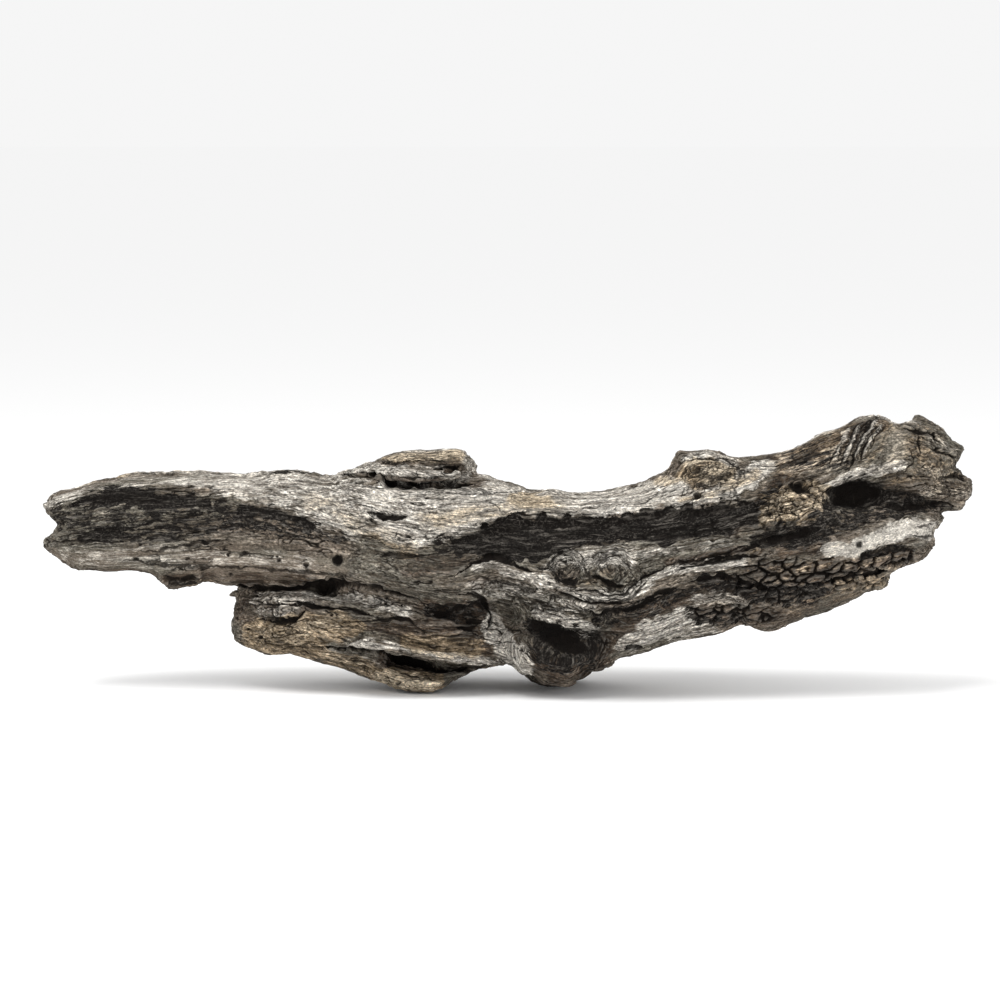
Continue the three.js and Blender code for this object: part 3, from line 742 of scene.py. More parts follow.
groove(2.8, 4.0, (28, 59.5, 0.8), (34, 57, 1.5), (42, 54, 1.5), (50, 52, 1.2), (62, 51.5, 0.9),
       (74, 53, 0.7), dark=1)
groove(1.6, 2.5, (22, 74), (28, 80), (36, 84.5), (48, 87.5))
groove(1.2, 1.5, (18, 72), (26, 71), (31, 68))
# Short curls of fibre, ring by ring, round each lobe.
chance = np.random.default_rng(3)
for middle_x, middle_h, half_x, half_h in [(62, 73, 13, 11), (36, 73, 10, 9)]:
    for ring in np.arange(0.2, 1.1, 0.11):
        for _ in range(2 + int(4 * ring)):
            start, sweep = chance.uniform(0, math.tau), chance.uniform(0.3, 1.1)
            turns = np.linspace(start, start + sweep, 4)
            lean = chance.uniform(-0.12, 0.12)
            curl = [(middle_x + half_x * (ring + lean * k) * math.cos(t),
                     middle_h + half_h * (ring + lean * k) * math.sin(t), 0.32) for k, t in enumerate(turns)]
            groove(1.2, 1.6, *curl, dark=0.8)
ridge(9, 2.0, (-14, 75), (2, 70), (18, 66), (34, 61), (50, 58), (66, 56))
ridge(4, 1.2, (74, 58), (84, 66), (98, 74), (120, 79), (145, 82))
ridge(6, 1.5, (80, 83), (100, 86), (120, 89))

# ---- The bulb -----------------------------------------------------------------------------------------
# A burl under the knot, one of the wood's two feet: a charred hollow like a half-shut eye, blackened further
# with painted shade, with a heavy wrinkled lid over it and frayed wood below.

stain("char", 1.0, (14, 39, 4), (24, 31, 9), (36, 28, 9), (46, 27, 6), (52, 33, 3), soft=0.6)
stain("char", 0.85, (16, 24, 6), (28, 17, 7), (40, 17, 6), (50, 24, 5), soft=0.9)
stain("umber", 1.0, (16, 20, 6), (30, 12, 7), (46, 16, 8), (58, 28, 8), soft=0.7)
stain("char", 0.55, (54, 42, 5), (70, 46, 6), (85, 50, 6), (100, 56, 4), (118, 63, 3), soft=0.7)
stain("umber", 0.7, (60, 30, 6), (72, 40, 6), (92, 50, 6), (112, 58, 5), soft=0.8)
stain("bleach", 1.4, (-10, 42, 4), (-6, 33, 7), (1, 24, 7), (6, 16, 6), (12, 10, 3))
stain("bleach", 0.9, (17, 46, 3), (28, 42.5, 4.5), (40, 39, 5), (50, 37, 4))
stain("bleach", 0.42, (-18, 60, 6), (0, 60, 7), (18, 56, 6), (34, 51, 5), (50, 50, 3), soft=0.9)
stain("umber", 0.5, (8, 12, 4), (24, 8, 5), (44, 12, 5), (62, 17, 4))
# Painted shade in the bulb's hollow under its lid.
stain("hollow_shade", 1.4, (14, 41, 2), (20, 36, 4), (28, 31, 5), (36, 28, 5), (43, 27, 3), soft=1.4)
stain("hollow_shade", 0.5, (14, 28, 6), (28, 22, 9), (42, 23, 8), (56, 32, 7), soft=1.6)
hollow(33, 33, 18, 8, 6, dark=0.4)
hollow(30, 25, 22, 12, 4)
hollow(18, 38, 7, 5, 4, dark=0.4)
groove(2.4, 3.0, (12, 44, 0.6), (20, 39.5, 0.9), (28, 36, 1.0), (37, 33.5, 1.0), (43, 35, 0.5), dark=1)
ridge(12.0, 2.6, (-2, 38), (0, 30), (4, 20), (10, 12))
ridge(5.0, 2.8, (14, 46), (22, 42.5), (31, 38.5), (40, 36.5), (48, 38.5), (52, 37))
ridge(6.0, 2.4, (42, 31), (46, 32), (49, 30.5))
stain("bleach", 0.9, (44, 33, 2), (47, 31.5, 2.4), (50, 31, 1.6))
groove(1.3, 1.6, (40, 34), (45, 35.5), (49.5, 33), (49, 28.5), dark=0.9)
groove(1.3, 1.4, (14, 50), (26, 46), (36, 42), (46, 43))
groove(1.3, 1.4, (18, 52), (28, 50), (40, 46), (50, 46))
groove(1.2, 1.3, (-6, 62), (4, 58), (14, 52), (24, 51))
groove(1.2, 1.3, (-14, 66), (-2, 66), (8, 60), (20, 57))
groove(1.4, 1.5, (2, 57), (8, 54), (12, 48))
groove(1.6, 2.0, (-4, 58), (2, 55.5), (8, 58), (6, 62))
# Short bow-shaped wrinkles, each a crack with a fold under it.
for x, h, size in [(0, 61, 5), (10, 58, 4), (20, 59, 4), (28, 54, 4), (17, 51, 4), (6, 53, 3.5),
                   (-8, 63, 4), (34, 48, 4), (-16, 66, 3.5), (46, 47, 3)]:
    bow = [(x + size * math.cos(t), h + 0.55 * size * math.sin(t)) for t in (0.3, 1.3, 2.3, 3.2)]
    groove(1.5, 1.8, *bow, dark=0.7)
    ridge(2.5, 1.0, *[(bx, bh - 1.6) for bx, bh in bow])
groove(1.6, 2.0, (-8, 53), (0, 51), (10, 53))
groove(2.6, 3.5, (44, 50, 0.8), (54, 46, 1.2), (66, 46.5, 1.2), (80, 50, 0.9), (94, 58, 0.7), dark=1)
groove(2.4, 3.5, (-22, 60, 0.7), (-16, 56, 1.0), (-12, 50, 0.9), (-11, 44, 0.7), (-13, 36, 0.4), dark=0.9)
stain("umber", 0.9, (-14, 52, 3), (-13, 44, 3.5), (-15, 36, 3), (-12, 27, 2.5))
groove(1.2, 1.2, (-6, 36), (2, 37), (10, 33))
groove(1.2, 1.2, (-8, 28), (0, 29), (8, 27))
groove(2.0, 2.5, (70, 25, 1), (75, 25.5, 1.8), (80, 25, 0.8), dark=1)
stain("bleach", 1.0, (66, 25, 3), (78, 31, 6), (90, 38, 7), (102, 43, 6), (108, 44, 3))
stain("bleach", 0.5, (95, 34, 4), (110, 36, 4), (122, 36, 3))

# ---- The top knob -------------------------------------------------------------------------------------
# The stump of another branch, left flat by decay: a brown disc of upright fibres under a thin arched rim,
# with pale wood flowing past its foot.

stain("warm", 0.7, (106, 132, 6), (116, 130, 9), (128, 130, 8))
stain("warm", 0.6, (104, 114, 2), (124, 119, 3), (148, 130, 4), soft=0.9)
stain("umber", 0.3, (112, 133, 6), (124, 132, 8), (134, 130, 5))
stain("bleach", 0.6, (106, 138, 4), (118, 141, 4), (132, 137, 5), (120, 128, 7), soft=0.9)
stain("bleach", 1.1, (98, 112, 3), (110, 114, 4), (120, 117, 5), (132, 121, 5.5), (144, 127, 6),
      (154, 134, 6))
groove(1.5, 2.2, (100, 134), (106, 137.5), (114, 139), (124, 138.5), (132, 138), (138, 134), (141, 129),
       dark=0.9)
# Short cracks between the knob's upright fibres.
chance = np.random.default_rng(7)
for _ in range(46):
    x, h = chance.uniform(104, 140), chance.uniform(118, 135)
    length = chance.uniform(2, 5)
    groove(1.5, 1.0, (x, h + length / 2, 0.35), (x + chance.uniform(-1, 1), h, 0.5),
           (x + chance.uniform(-2, 1), h - length / 2, 0.3), dark=0.8)
worm_hole(113, 116.3, 1.9, 3)
groove(1.2, 1.5, (110.5, 114.5, 0.5), (116, 118, 0.6), (118, 120, 0.3))
groove(1.4, 1.5, (140, 130, 0.5), (144, 131.5, 0.9), (146, 131, 0.5))
worm_hole(131, 126, 1)

# ---- The rotten blocks --------------------------------------------------------------------------------
# Brown rot has shrunk the right side's wood and split it into cubes: pale tan ones by the knob, and small
# near-black ones below, where a crack runs out of the knot.

stain("cubes", 0.5, (154, 110, 6), (163, 115, 9), (174, 112, 10), (183, 118, 8), soft=0.4)
stain("warm", 1.6, (154, 107, 6), (163, 113, 10), (174, 110, 10), (185, 117, 8))
stain("bleach", 0.42, (156, 106, 5), (164, 112, 8), (174, 109, 8), (186, 116, 6), soft=0.9)
stain("cubes", 0.45, (115, 95, 4), (135, 97, 6), (152, 99, 5), (168, 103, 4), soft=0.9)
stain("warm", 0.22, (130, 60, 12), (165, 64, 20), (205, 66, 18), (235, 78, 10), soft=1.0)
stain("warm", 0.35, (170, 138, 14), (205, 148, 14), (240, 145, 16), (262, 125, 14), soft=1.0)
stain("umber", 0.5, (112, 92, 3), (130, 96, 6), (150, 99, 5), (170, 103, 3))
stain("cubes", 1.0, (140, 66, 8), (158, 66, 13), (178, 66, 13), (198, 70, 8), (218, 74, 5), (240, 80, 4),
      soft=0.4)
stain("umber", 1.0, (122, 62, 5), (140, 64, 8), (158, 65, 13), (178, 66, 13), (198, 70, 9), (218, 76, 5),
      (240, 81, 4))
stain("char", 0.85, (115, 65, 4), (132, 64, 5), (150, 57, 5), (168, 57, 6), (186, 60, 5), soft=0.9)
stain("cubes", 1.0, (112, 45, 5), (128, 45, 6), (145, 46, 6), (156, 44, 4), soft=0.5)
stain("umber", 0.7, (112, 45, 5), (128, 45, 6), (145, 46, 6), (160, 44, 5))
stain("char", 0.6, (110, 45, 4), (120, 43, 4), (140, 42, 3), soft=0.9)
# The gaps between the tan blocks.
for crack in [[(150, 112), (157, 113), (163, 110), (170, 112), (177, 109), (184, 111)],
              [(152, 106), (160, 105), (167, 106.5), (175, 103.5)],
              [(157, 118), (164, 117), (170, 115), (178, 115.5), (186, 117)],
              [(157, 113), (156, 108), (158, 105)], [(163, 117), (162, 113), (163, 110)],
              [(163, 110), (164, 106)], [(170, 115), (171, 112), (169, 106.5)], [(177, 115.5), (178, 109)],
              [(176, 109), (174, 104)], [(164, 117), (166, 121), (171, 123)],
              [(184, 116.5), (183, 111), (185, 107)],
              [(160, 101), (161, 105)], [(150, 112), (148, 108)]]:
    groove(1.0, 1.6, *crack, dark=0.95)
hollow(175, 122, 6, 3.6, 6, dark=0.7)
groove(3.0, 3.0, (169, 125, 0.6), (173, 122.5, 2.0), (178, 121, 2.0), (181, 119, 0.6), dark=1)
groove(4.0, 4.0, (148, 91, 0.3), (158, 91.5, 0.6), (172, 94, 0.8), (188, 97, 0.4), dark=0.6)
# Painted shade in the crack there.
stain("hollow_shade", 0.6, (152, 92, 2), (166, 93, 3), (182, 96, 2), soft=1.8)
stain("char", 1.0, (148, 90, 3), (162, 92, 6), (178, 93, 6), (192, 97, 6))
groove(2.4, 3.5, (92, 74, 0.4), (106, 77, 0.7), (120, 80, 0.5), (134, 84, 0.6), (146, 88, 0.4), dark=0.9)
groove(2.2, 3.0, (96, 71, 0.8), (112, 74.5, 1.1), (128, 78, 1.1), (144, 80, 0.9), (152, 80, 0.7), dark=1)
groove(2.0, 3.0, (140, 84, 0.8), (146, 87, 1.3), (150, 89.5, 0.8), dark=1)
ridge(5, 2.6, (140, 82), (146, 83.5), (150, 87), (148, 89.5))
stain("warm", 0.7, (144, 83, 2), (149, 86, 2.2))
stain("umber", 0.8, (96, 76, 3), (115, 79, 3), (135, 84, 3), (150, 84, 3))
groove(2.6, 3.5, (108, 65, 0.8), (120, 67, 1.2), (132, 67, 1.2), (146, 64, 1.2), (156, 60, 1.0), dark=1)
groove(2.4, 3.0, (100, 61, 0.8), (90, 58, 1.2), (82, 54, 1.0), dark=1)
ridge(8, 2.5, (112, 54), (124, 58), (134, 57), (144, 52))
stain("bleach", 0.5, (112, 53, 4), (124, 57, 5), (136, 55, 5), (144, 52, 3), soft=0.9)
stain("umber", 0.25, (160, 44, 6), (180, 47, 6), (205, 54, 6))
stain("umber", 0.5, (150, 42, 6), (180, 46, 6), (210, 55, 5), soft=0.9)
stain("worn_smooth", 0.4, (150, 44, 6), (180, 46, 6), (210, 55, 5))
groove(2.6, 5.0, (186, 63, 0.8), (196, 66, 1.6), (208, 68, 1.8), (220, 70, 1.4), (229, 71.5, 0.8), dark=1)
stain("cubes", 0.9, (198, 62, 3.5), (212, 64, 4), (226, 66.5, 3.5), soft=0.3)
stain("warm", 0.5, (198, 62, 3), (212, 64, 4), (226, 66, 3))

# ---- The broken right end -----------------------------------------------------------------------------
# Where the trunk tore: steep ridges of splintered wood above, a charred hollow under a pale lip, blackened
# further with painted shade, and a smooth white strand below it.

for foot, middle, head, width, height in [((201, 138), (205, 148), (211, 158), 4.5, 2.2),
                                          ((207, 140), (211, 149), (219, 161), 4.5, 2.0),
                                          ((213, 141), (216, 149), (223, 159), 3.5, 1.4),
                                          ((196, 140), (199, 148), (205, 156), 3.5, 1.0)]:
    ridge(width, height, foot, middle, head)
    stain("bleach", 0.85, (*foot, 1), (*middle, width * 0.36), (*head, width * 0.3))
groove(2.0, 2.6, (199, 134, 0.4), (202, 143, 0.7), (207, 154, 0.8), (212, 161, 0.4), dark=0.9)
groove(2.4, 3.4, (205, 133, 0.8), (207, 141, 1.1), (210, 148, 0.9), (215, 157, 0.8), (221, 164, 0.3), dark=1)
groove(2.2, 3.0, (211, 137, 0.6), (213, 145, 1.0), (217, 152, 0.9), (222, 158, 0.4), dark=0.95)
groove(1.8, 2.0, (218, 146, 0.4), (220, 152, 0.6), (225, 157, 0.3), dark=0.9)
groove(1.6, 1.8, (193, 134, 0.5), (196, 143, 0.6), (200, 150, 0.3), dark=0.8)
groove(1.4, 1.6, (203, 147, 0.2), (206, 152, 0.4), (210, 156, 0.2), dark=0.8)
groove(1.4, 1.6, (209, 152, 0.2), (212, 157, 0.4), (217, 162, 0.2), dark=0.8)
stain("umber", 0.9, (160, 140, 6), (170, 142, 8), (185, 144, 9), (200, 150, 8), (222, 160, 5))
stain("bleach", 0.25, (165, 138, 6), (182, 132, 8), (196, 138, 7), soft=0.9)
stain("char", 0.35, (172, 138, 6), (190, 140, 6), (200, 136, 5), soft=0.9)
stain("char", 1.0, (194, 112, 5), (205, 117, 8), (218, 118, 7), (232, 115, 5), (246, 112, 3), (256, 111, 2),
      soft=0.8)
stain("char", 0.85, (186, 100, 7), (200, 103, 8), (218, 106, 5), (235, 107, 3), (250, 110, 2), soft=0.8)
hollow(208, 117, 15, 6, 7, dark=0.3)
# Painted shade in the hollow under the pale lip.
stain("hollow_shade", 1.4, (198, 115, 3), (208, 118, 4), (220, 118, 2), soft=1.6)
groove(4.0, 4.0, (222, 112, 0.3), (235, 111, 0.5), (247, 111.5, 0.6), (254, 112, 0.5), (262, 111.5, 0.7),
       (272, 110, 0.4), dark=0.7)
stain("char", 0.6, (222, 111, 2), (240, 110.5, 2.5), (256, 111, 2), (266, 111, 1.5), soft=1.2)
ridge(5, 2.4, (190, 121), (203, 127), (220, 130), (236, 132))
stain("bleach", 0.75, (190, 122, 3), (205, 128, 4), (220, 132, 4), (235, 135, 4))
lobe = [(228, 141, 5), (233, 147, 6), (235, 154, 4)]
stain("bleach", 0.35, *lobe)
stain("worn_smooth", 0.8, *lobe)
stain("bleach", 0.45, (182, 118, 3), (186, 110, 4), (192, 122, 3))
stain("warm", 0.45, (225, 128, 3), (240, 127, 4), (250, 125, 3))
stain("umber", 0.55, (225, 122, 5), (245, 122, 6), (262, 121, 5), (274, 118, 6), soft=0.8)
stain("bleach", 0.35, (250, 120, 5), (262, 119, 5), (274, 118, 4), soft=0.9)
stain("umber", 0.5, (245, 148, 6), (252, 138, 6), (262, 132, 5), soft=0.9)
stain("bleach", 0.35, (252, 150, 3), (262, 147, 3), (268, 146, 2))
stain("bleach", 0.3, (250, 132, 4), (262, 130, 4))
groove(2.0, 3.0, (238, 157, 0.8), (245, 155.5, 1.3), (252, 154, 1.2), (258, 150, 0.8), dark=1)
groove(1.6, 2.4, (246.5, 156), (246, 148), (247.5, 141), dark=0.9)
groove(1.4, 1.8, (240, 146), (243, 138), (238, 131))
groove(2.2, 2.5, (255, 145, 0.8), (262, 142, 1.2), (269, 139, 0.8), dark=0.8)
groove(2.2, 2.5, (262, 128, 0.8), (268, 129, 1.6), (274, 126, 1), dark=0.9)
groove(1.2, 1.2, (250, 124), (262, 122), (275, 120))
groove(1.2, 1.2, (252, 119), (264, 117.5), (274, 116))
white_strand = [(192, 85, 4), (204, 83.5, 5), (216, 89, 6), (228, 94, 7), (242, 97, 7), (253, 97, 6)]
stain("bleach", 1.0, *white_strand, soft=0.4)
stain("worn_smooth", 0.9, *white_strand)
worm_hole(211, 87, 1.2)
stain("umber", 0.85, (165, 84, 5), (180, 85, 5), (195, 87, 3), soft=0.9)
stain("warm", 0.15, (168, 84, 4), (180, 86, 4), (192, 89, 3))
stain("char", 0.7, (214, 80, 1.4), (224, 83.5, 2), (236, 85, 2), (244, 84, 1.2), soft=0.7)
groove(2.0, 2.2, (208, 79, 0.7), (220, 82, 1.2), (232, 84.5, 1.0), (243, 84.5, 0.6), dark=0.5)
groove(1.5, 1.6, (244, 93), (250, 92), (256, 92.5), dark=0.8)
groove(1.5, 1.6, (246, 99), (252, 99.5), (257, 99), dark=0.8)

# ---- The sides that face away -------------------------------------------------------------------------
# Behind, the wood has weathered as in front: silver on top where sun and rain reach, brown beneath. Its
# cracks follow the same grain, and its patches of char and rot come from seeded ripples.

away = 1 - front
shown = away
groove(5.0, 7.0, (-235, 104, 0.8), (-190, 100, 1.6), (-140, 97, 2.0), (-95, 90, 1.4), (-60, 84, 0.8), dark=1)
groove(4.0, 6.0, (-120, 62, 0.8), (-85, 58, 1.8), (-50, 50, 1.6), (-22, 44, 0.8), dark=1)
groove(4.0, 6.0, (20, 96, 0.6), (60, 100, 1.4), (110, 108, 1.8), (160, 122, 1.2), (190, 132, 0.6), dark=1)
groove(3.0, 4.0, (70, 70, 0.6), (110, 74, 1.2), (150, 84, 1.0), (185, 94, 0.5), dark=1)
ridge(16, 4.0, (-220, 112), (-150, 108), (-90, 100), (-40, 92), (20, 88))
ridge(14, 3.5, (-150, 48), (-100, 46), (-50, 38), (-10, 30))
ridge(16, 4.0, (40, 84), (90, 88), (140, 98), (190, 112), (240, 124))
ridge(12, 3.0, (110, 54), (150, 62), (200, 72), (235, 80))
for x, h, half_width, half_height, depth in [(-30, 78, 22, 9, 6), (210, 140, 16, 8, 6), (-205, 88, 24, 6, 4)]:
    hollow(x, h, half_width, half_height, depth)
# Long cracks follow pieces of the grain lines, somewhat above or below them.
chance = np.random.default_rng(21)
for line in grain_lines:
    for _ in range(3):
        skip = chance.integers(0, len(line) - 1)
        drop = chance.uniform(-9, 9)
        part = [(x, h + drop) for x, h in line[skip:skip + 2]]
        groove(1.2, 2.0, *part, dark=0.8)
patches = ripple(skin.place, (60, 40, 22), 11) + 0.6 * ripple(skin.place, (24, 16, 9), 12)
others = ripple(skin.place, (50, 40, 16), 13) + 0.5 * ripple(skin.place, (20, 16, 8), 14)
rot = 2.4 * ripple(skin.place, (40, 30, 18), 15) - 1.2
for name, value, most in [("bleach", 0.25 + 0.5 * out[:, 2] + 0.6 * patches, 1),
                          ("umber", -0.1 - 0.6 * out[:, 2] - 0.7 * patches, 1),
                          ("warm", 0.9 * others - 0.2, 0.8),
                          ("char", -2.4 * others - 1.4, 1),
                          ("cubes", rot, 1)]:
    masks[name] = np.maximum(masks[name], away * np.clip(value, 0, most))

# ---- Wearing the skin ---------------------------------------------------------------------------------
# Everything carved or raised above is pressed into the skin at once. The masks and the grain then lie on
# it as attributes, for the fine relief and for the colours.

# Cuts go in square to the skin, but lean towards straight in from the front or from behind.
LEAN = 0.4
FACES_BACK = 0.3
inwards = -out * 0.6
inwards[:, 1] += LEAN * front - LEAN * (out[:, 1] > FACES_BACK)
inwards /= np.linalg.norm(inwards, axis=1, keepdims=True)
shift = skin.spread((carved - raised)[:, None], 1)[:, 0]
skin.place += inwards * shift[:, None]


def write_skin(mesh, place):
    """Puts the mesh's points at these places."""
    mesh.vertices.foreach_set("co", (place * MM).astype(np.float32).ravel())
    mesh.update()


def keep(mesh, name, value):
    """Stores a number or a vector for each point of the mesh."""
    kind = "FLOAT" if value.ndim == 1 else "FLOAT_VECTOR"
    data = mesh.attributes.get(name) or mesh.attributes.new(name, kind, "POINT")
    data.data.foreach_set("value" if value.ndim == 1 else "vector", value.astype(np.float32).ravel())


write_skin(wood.data, skin.place)
keep(wood.data, "grain", np.column_stack([across, skin.place[:, 1], level]))
for name, value in masks.items():
    keep(wood.data, name, skin.spread(value[:, None], 1)[:, 0])
keep(wood.data, "seam", seam)
keep(wood.data, "seam_shade", seam_shade)
keep(wood.data, "outward", skin.spread(skin.normals(), 3))

# ---- Fibres, checks and crumble -----------------------------------------------------------------------
# Weather takes the soft wood between the fibres first. Long checks open along the grain, char crumbles,
# and rotten wood shrinks into blocks. One tree of nodes makes the pattern for both relief and colour.


def node(tree, kind, *values, out=0, **settings):
    """One node. Settings are its properties, values fill its inputs in order; None leaves one alone."""
    made = tree.nodes.new(kind)
    inputs = settings.pop("inputs", {})
    for name, value in settings.items():
        setattr(made, name, value)
    for socket, value in [*zip(made.inputs, values), *((made.inputs[n], v) for n, v in inputs.items())]:
        if isinstance(value, bpy.types.NodeSocket):
            tree.links.new(value, socket)
        elif value is not None:
            socket.default_value = value
    return made.outputs[out]


def maths(tree, operation, *values):
    return node(tree, "ShaderNodeMath", *values, operation=operation)


def times(tree, a, b):
    return maths(tree, "MULTIPLY", a, b)


def times_plus(tree, a, b, c):
    return maths(tree, "MULTIPLY_ADD", a, b, c)


def from_middle(tree, value):
    """How far a noise is from its middle, either way."""
    return maths(tree, "ABSOLUTE", maths(tree, "SUBTRACT", value, 0.5))


def ramp(tree, value, low, high, to_low=0.0, to_high=1.0):
    """value from low to high, eased and carried over to to_low and to_high."""
    return node(tree, "ShaderNodeMapRange", value, low, high, to_low, to_high,
                interpolation_type="SMOOTHSTEP")


def drawn_out(tree, grain, along, over):
    """Grain places scaled for a pattern: how often it repeats in a millimetre along and over the fibres."""
    return node(tree, "ShaderNodeVectorMath", grain, (along, over, over), operation="MULTIPLY")


def noise(tree, grain, along, over, detail=2.0, roughness=0.5, out=0):
    return node(tree, "ShaderNodeTexNoise", out=out,
                inputs={"Vector": drawn_out(tree, grain, along, over), "Scale": 1.0, "Detail": detail,
                        "Roughness": roughness})


def block_edges(tree, grain, along, over, randomness):
    return node(tree, "ShaderNodeTexVoronoi", feature="DISTANCE_TO_EDGE",
                inputs={"Vector": drawn_out(tree, grain, along, over), "Scale": 1.0,
                        "Randomness": randomness})


def weather(tree, grain, char, cubes, smooth):
    """The worn pattern: its height, how deep in a crack or a dip, and the wandering grain it follows."""
    drift = noise(tree, grain, 0.03, 0.07, 2)
    drift = times_plus(tree, drift, 6.0, -3.0)
    wavy = node(tree, "ShaderNodeVectorMath", grain,
                node(tree, "ShaderNodeCombineXYZ", 0.0, drift, drift), operation="ADD")

    def lines(along, over, width, shown_from, shown_to):
        """Long cracks: thin bands where a stretched noise passes its middle, open only here and there."""
        band = noise(tree, wavy, along, over, 2, 0.45)
        band = ramp(tree, from_middle(tree, band), 0.0, width, 1.0, 0.0)
        open_here = noise(tree, wavy, along * 1.7, over * 0.6, 1)
        return times(tree, band, ramp(tree, open_here, shown_from, shown_to))

    thread = noise(tree, wavy, 0.035, 0.42, 3, 0.6)
    fibre = ramp(tree, from_middle(tree, thread), 0.0, 0.16)
    valley = ramp(tree, from_middle(tree, thread), 0.0, 0.05, 1.0, 0.0)

    # Worn and charred wood has lost most of its fibres and checks.
    rough = times_plus(tree, smooth, -0.85, 1.0)
    rough = times(tree, rough, times_plus(tree, char, -0.6, 1.0))
    long_check = times(tree, lines(0.013, 0.14, 0.024, 0.5, 0.6), rough)
    short_check = times(tree, lines(0.05, 0.36, 0.035, 0.5, 0.62), rough)

    # Rot's blocks have ragged gaps between them and domed tops, and char breaks into crumbs.
    warped = node(tree, "ShaderNodeVectorMath", noise(tree, grain, 0.22, 0.34, 2, out=1),
                  (4.5, 3.0, 3.0), wavy, operation="MULTIPLY_ADD")
    block = block_edges(tree, warped, 0.085, 0.16, 0.9)
    cube_gap = times(tree, ramp(tree, block, 0.015, 0.12, 1.0, 0.0), cubes)
    dome = times(tree, ramp(tree, block, 0.0, 0.4), cubes)
    crumb = noise(tree, grain, 0.5, 0.62, 3, 0.7)
    crumb = times(tree, maths(tree, "SUBTRACT", crumb, 0.5), char)

    # Pocks and dips lie between the fibres, and broad layers step down like worn leaves.
    pocks = noise(tree, wavy, 0.24, 0.62, 2, 0.6)
    dips = maths(tree, "MAXIMUM", times(tree, valley, 0.7), ramp(tree, pocks, 0.3, 0.46, 1.0, 0.0))
    dips = times(tree, dips, rough)
    pocks = times(tree, pocks, rough)
    swell = maths(tree, "SUBTRACT", noise(tree, wavy, 0.02, 0.1, 2), 0.5)
    layer = noise(tree, wavy, 0.016, 0.15, 2, 0.5)
    steps = times(tree, layer, 9.0)
    ledge = maths(tree, "ADD", maths(tree, "FLOOR", steps), ramp(tree, maths(tree, "FRACT", steps), 0.0, 0.3))
    calm = times(tree, rough, times_plus(tree, cubes, -0.4, 1.0))

    # The parts are added up, each with its height in millimetres.
    height = times(tree, fibre, times(tree, calm, 0.5))
    height = times_plus(tree, times(tree, ledge, rough), 0.5, height)
    height = times_plus(tree, pocks, 0.8, height)
    height = times_plus(tree, swell, 3.0, height)
    height = times_plus(tree, long_check, -1.6, height)
    height = times_plus(tree, short_check, -0.8, height)
    height = times_plus(tree, cube_gap, -2.6, height)
    height = times_plus(tree, dome, 0.6, height)
    height = times_plus(tree, crumb, 2.6, height)
    crack = maths(tree, "MAXIMUM", long_check, times(tree, short_check, 0.8))
    return height, maths(tree, "MAXIMUM", crack, cube_gap), dips, dome, wavy


relief = bpy.data.node_groups.new("worn relief", "GeometryNodeTree")
relief.interface.new_socket("Geometry", in_out="INPUT", socket_type="NodeSocketGeometry")
strength_socket = relief.interface.new_socket("Depth over plain", in_out="INPUT",
                                              socket_type="NodeSocketFloat")
relief.interface.new_socket("Geometry", in_out="OUTPUT", socket_type="NodeSocketGeometry")
entry = relief.nodes.new("NodeGroupInput")


def stored(name, kind="FLOAT"):
    return node(relief, "GeometryNodeInputNamedAttribute", name, data_type=kind)


# The worn pattern stands this many millimetres high on the whole, so that much is taken off it.
MEAN_HEIGHT = 3.2
worn = weather(relief, stored("grain", "FLOAT_VECTOR"), stored("char"), stored("cubes"),
               stored("worn_smooth"))
rise = times(relief, maths(relief, "SUBTRACT", worn[0], MEAN_HEIGHT), MM)
rise = times(relief, rise, entry.outputs["Depth over plain"])
offset = node(relief, "ShaderNodeVectorMath", stored("outward", "FLOAT_VECTOR"), operation="SCALE",
              inputs={"Scale": rise})
moved = node(relief, "GeometryNodeSetPosition", entry.outputs[0], inputs={"Offset": offset})
moved = node(relief, "GeometryNodeRealizeInstances", moved)
finish_set = relief.nodes.new("GeometryNodeSetMaterial")
relief.links.new(moved, finish_set.inputs["Geometry"])
exit_node = relief.nodes.new("NodeGroupOutput")
relief.links.new(finish_set.outputs[0], exit_node.inputs[0])

weathered = bpy.data.materials.new("weathered wood")
weathered.use_nodes = True
finish_set.inputs["Material"].default_value = weathered

wearing = wood.modifiers.new("relief", "NODES")
wearing.node_group = relief
wearing[strength_socket.identifier] = 1.0
wood = evaluated(wood, "driftwood_relief")

# Hollows are darkened with painted shade, and edges are rubbed pale: both are measured from the worn skin
# itself.
FINE_REACH = 4
WIDE_REACH = 24
deep = Skin(wood.data)
deep.place[:, 2] = np.maximum(deep.place[:, 2], 0)
write_skin(wood.data, deep.place)
normal_now = deep.normals()
near_mean = deep.spread(deep.place, FINE_REACH)
far_mean = deep.spread(near_mean, WIDE_REACH)
keep(wood.data, "fine_hollow", ((near_mean - deep.place) * normal_now).sum(1))
keep(wood.data, "wide_hollow", ((far_mean - deep.place) * normal_now).sum(1))

# The skin is thinned where it is plain, to keep the piece light.
MOST_TRIANGLES = 199_000
triangles = 2 * len(wood.data.polygons)
thin = [("TRIANGULATE", {}), ("DECIMATE", {"ratio": MOST_TRIANGLES / triangles})]
wood = evaluated(wood, "driftwood_weathered_wood", *thin)
wood.data.shade_smooth()

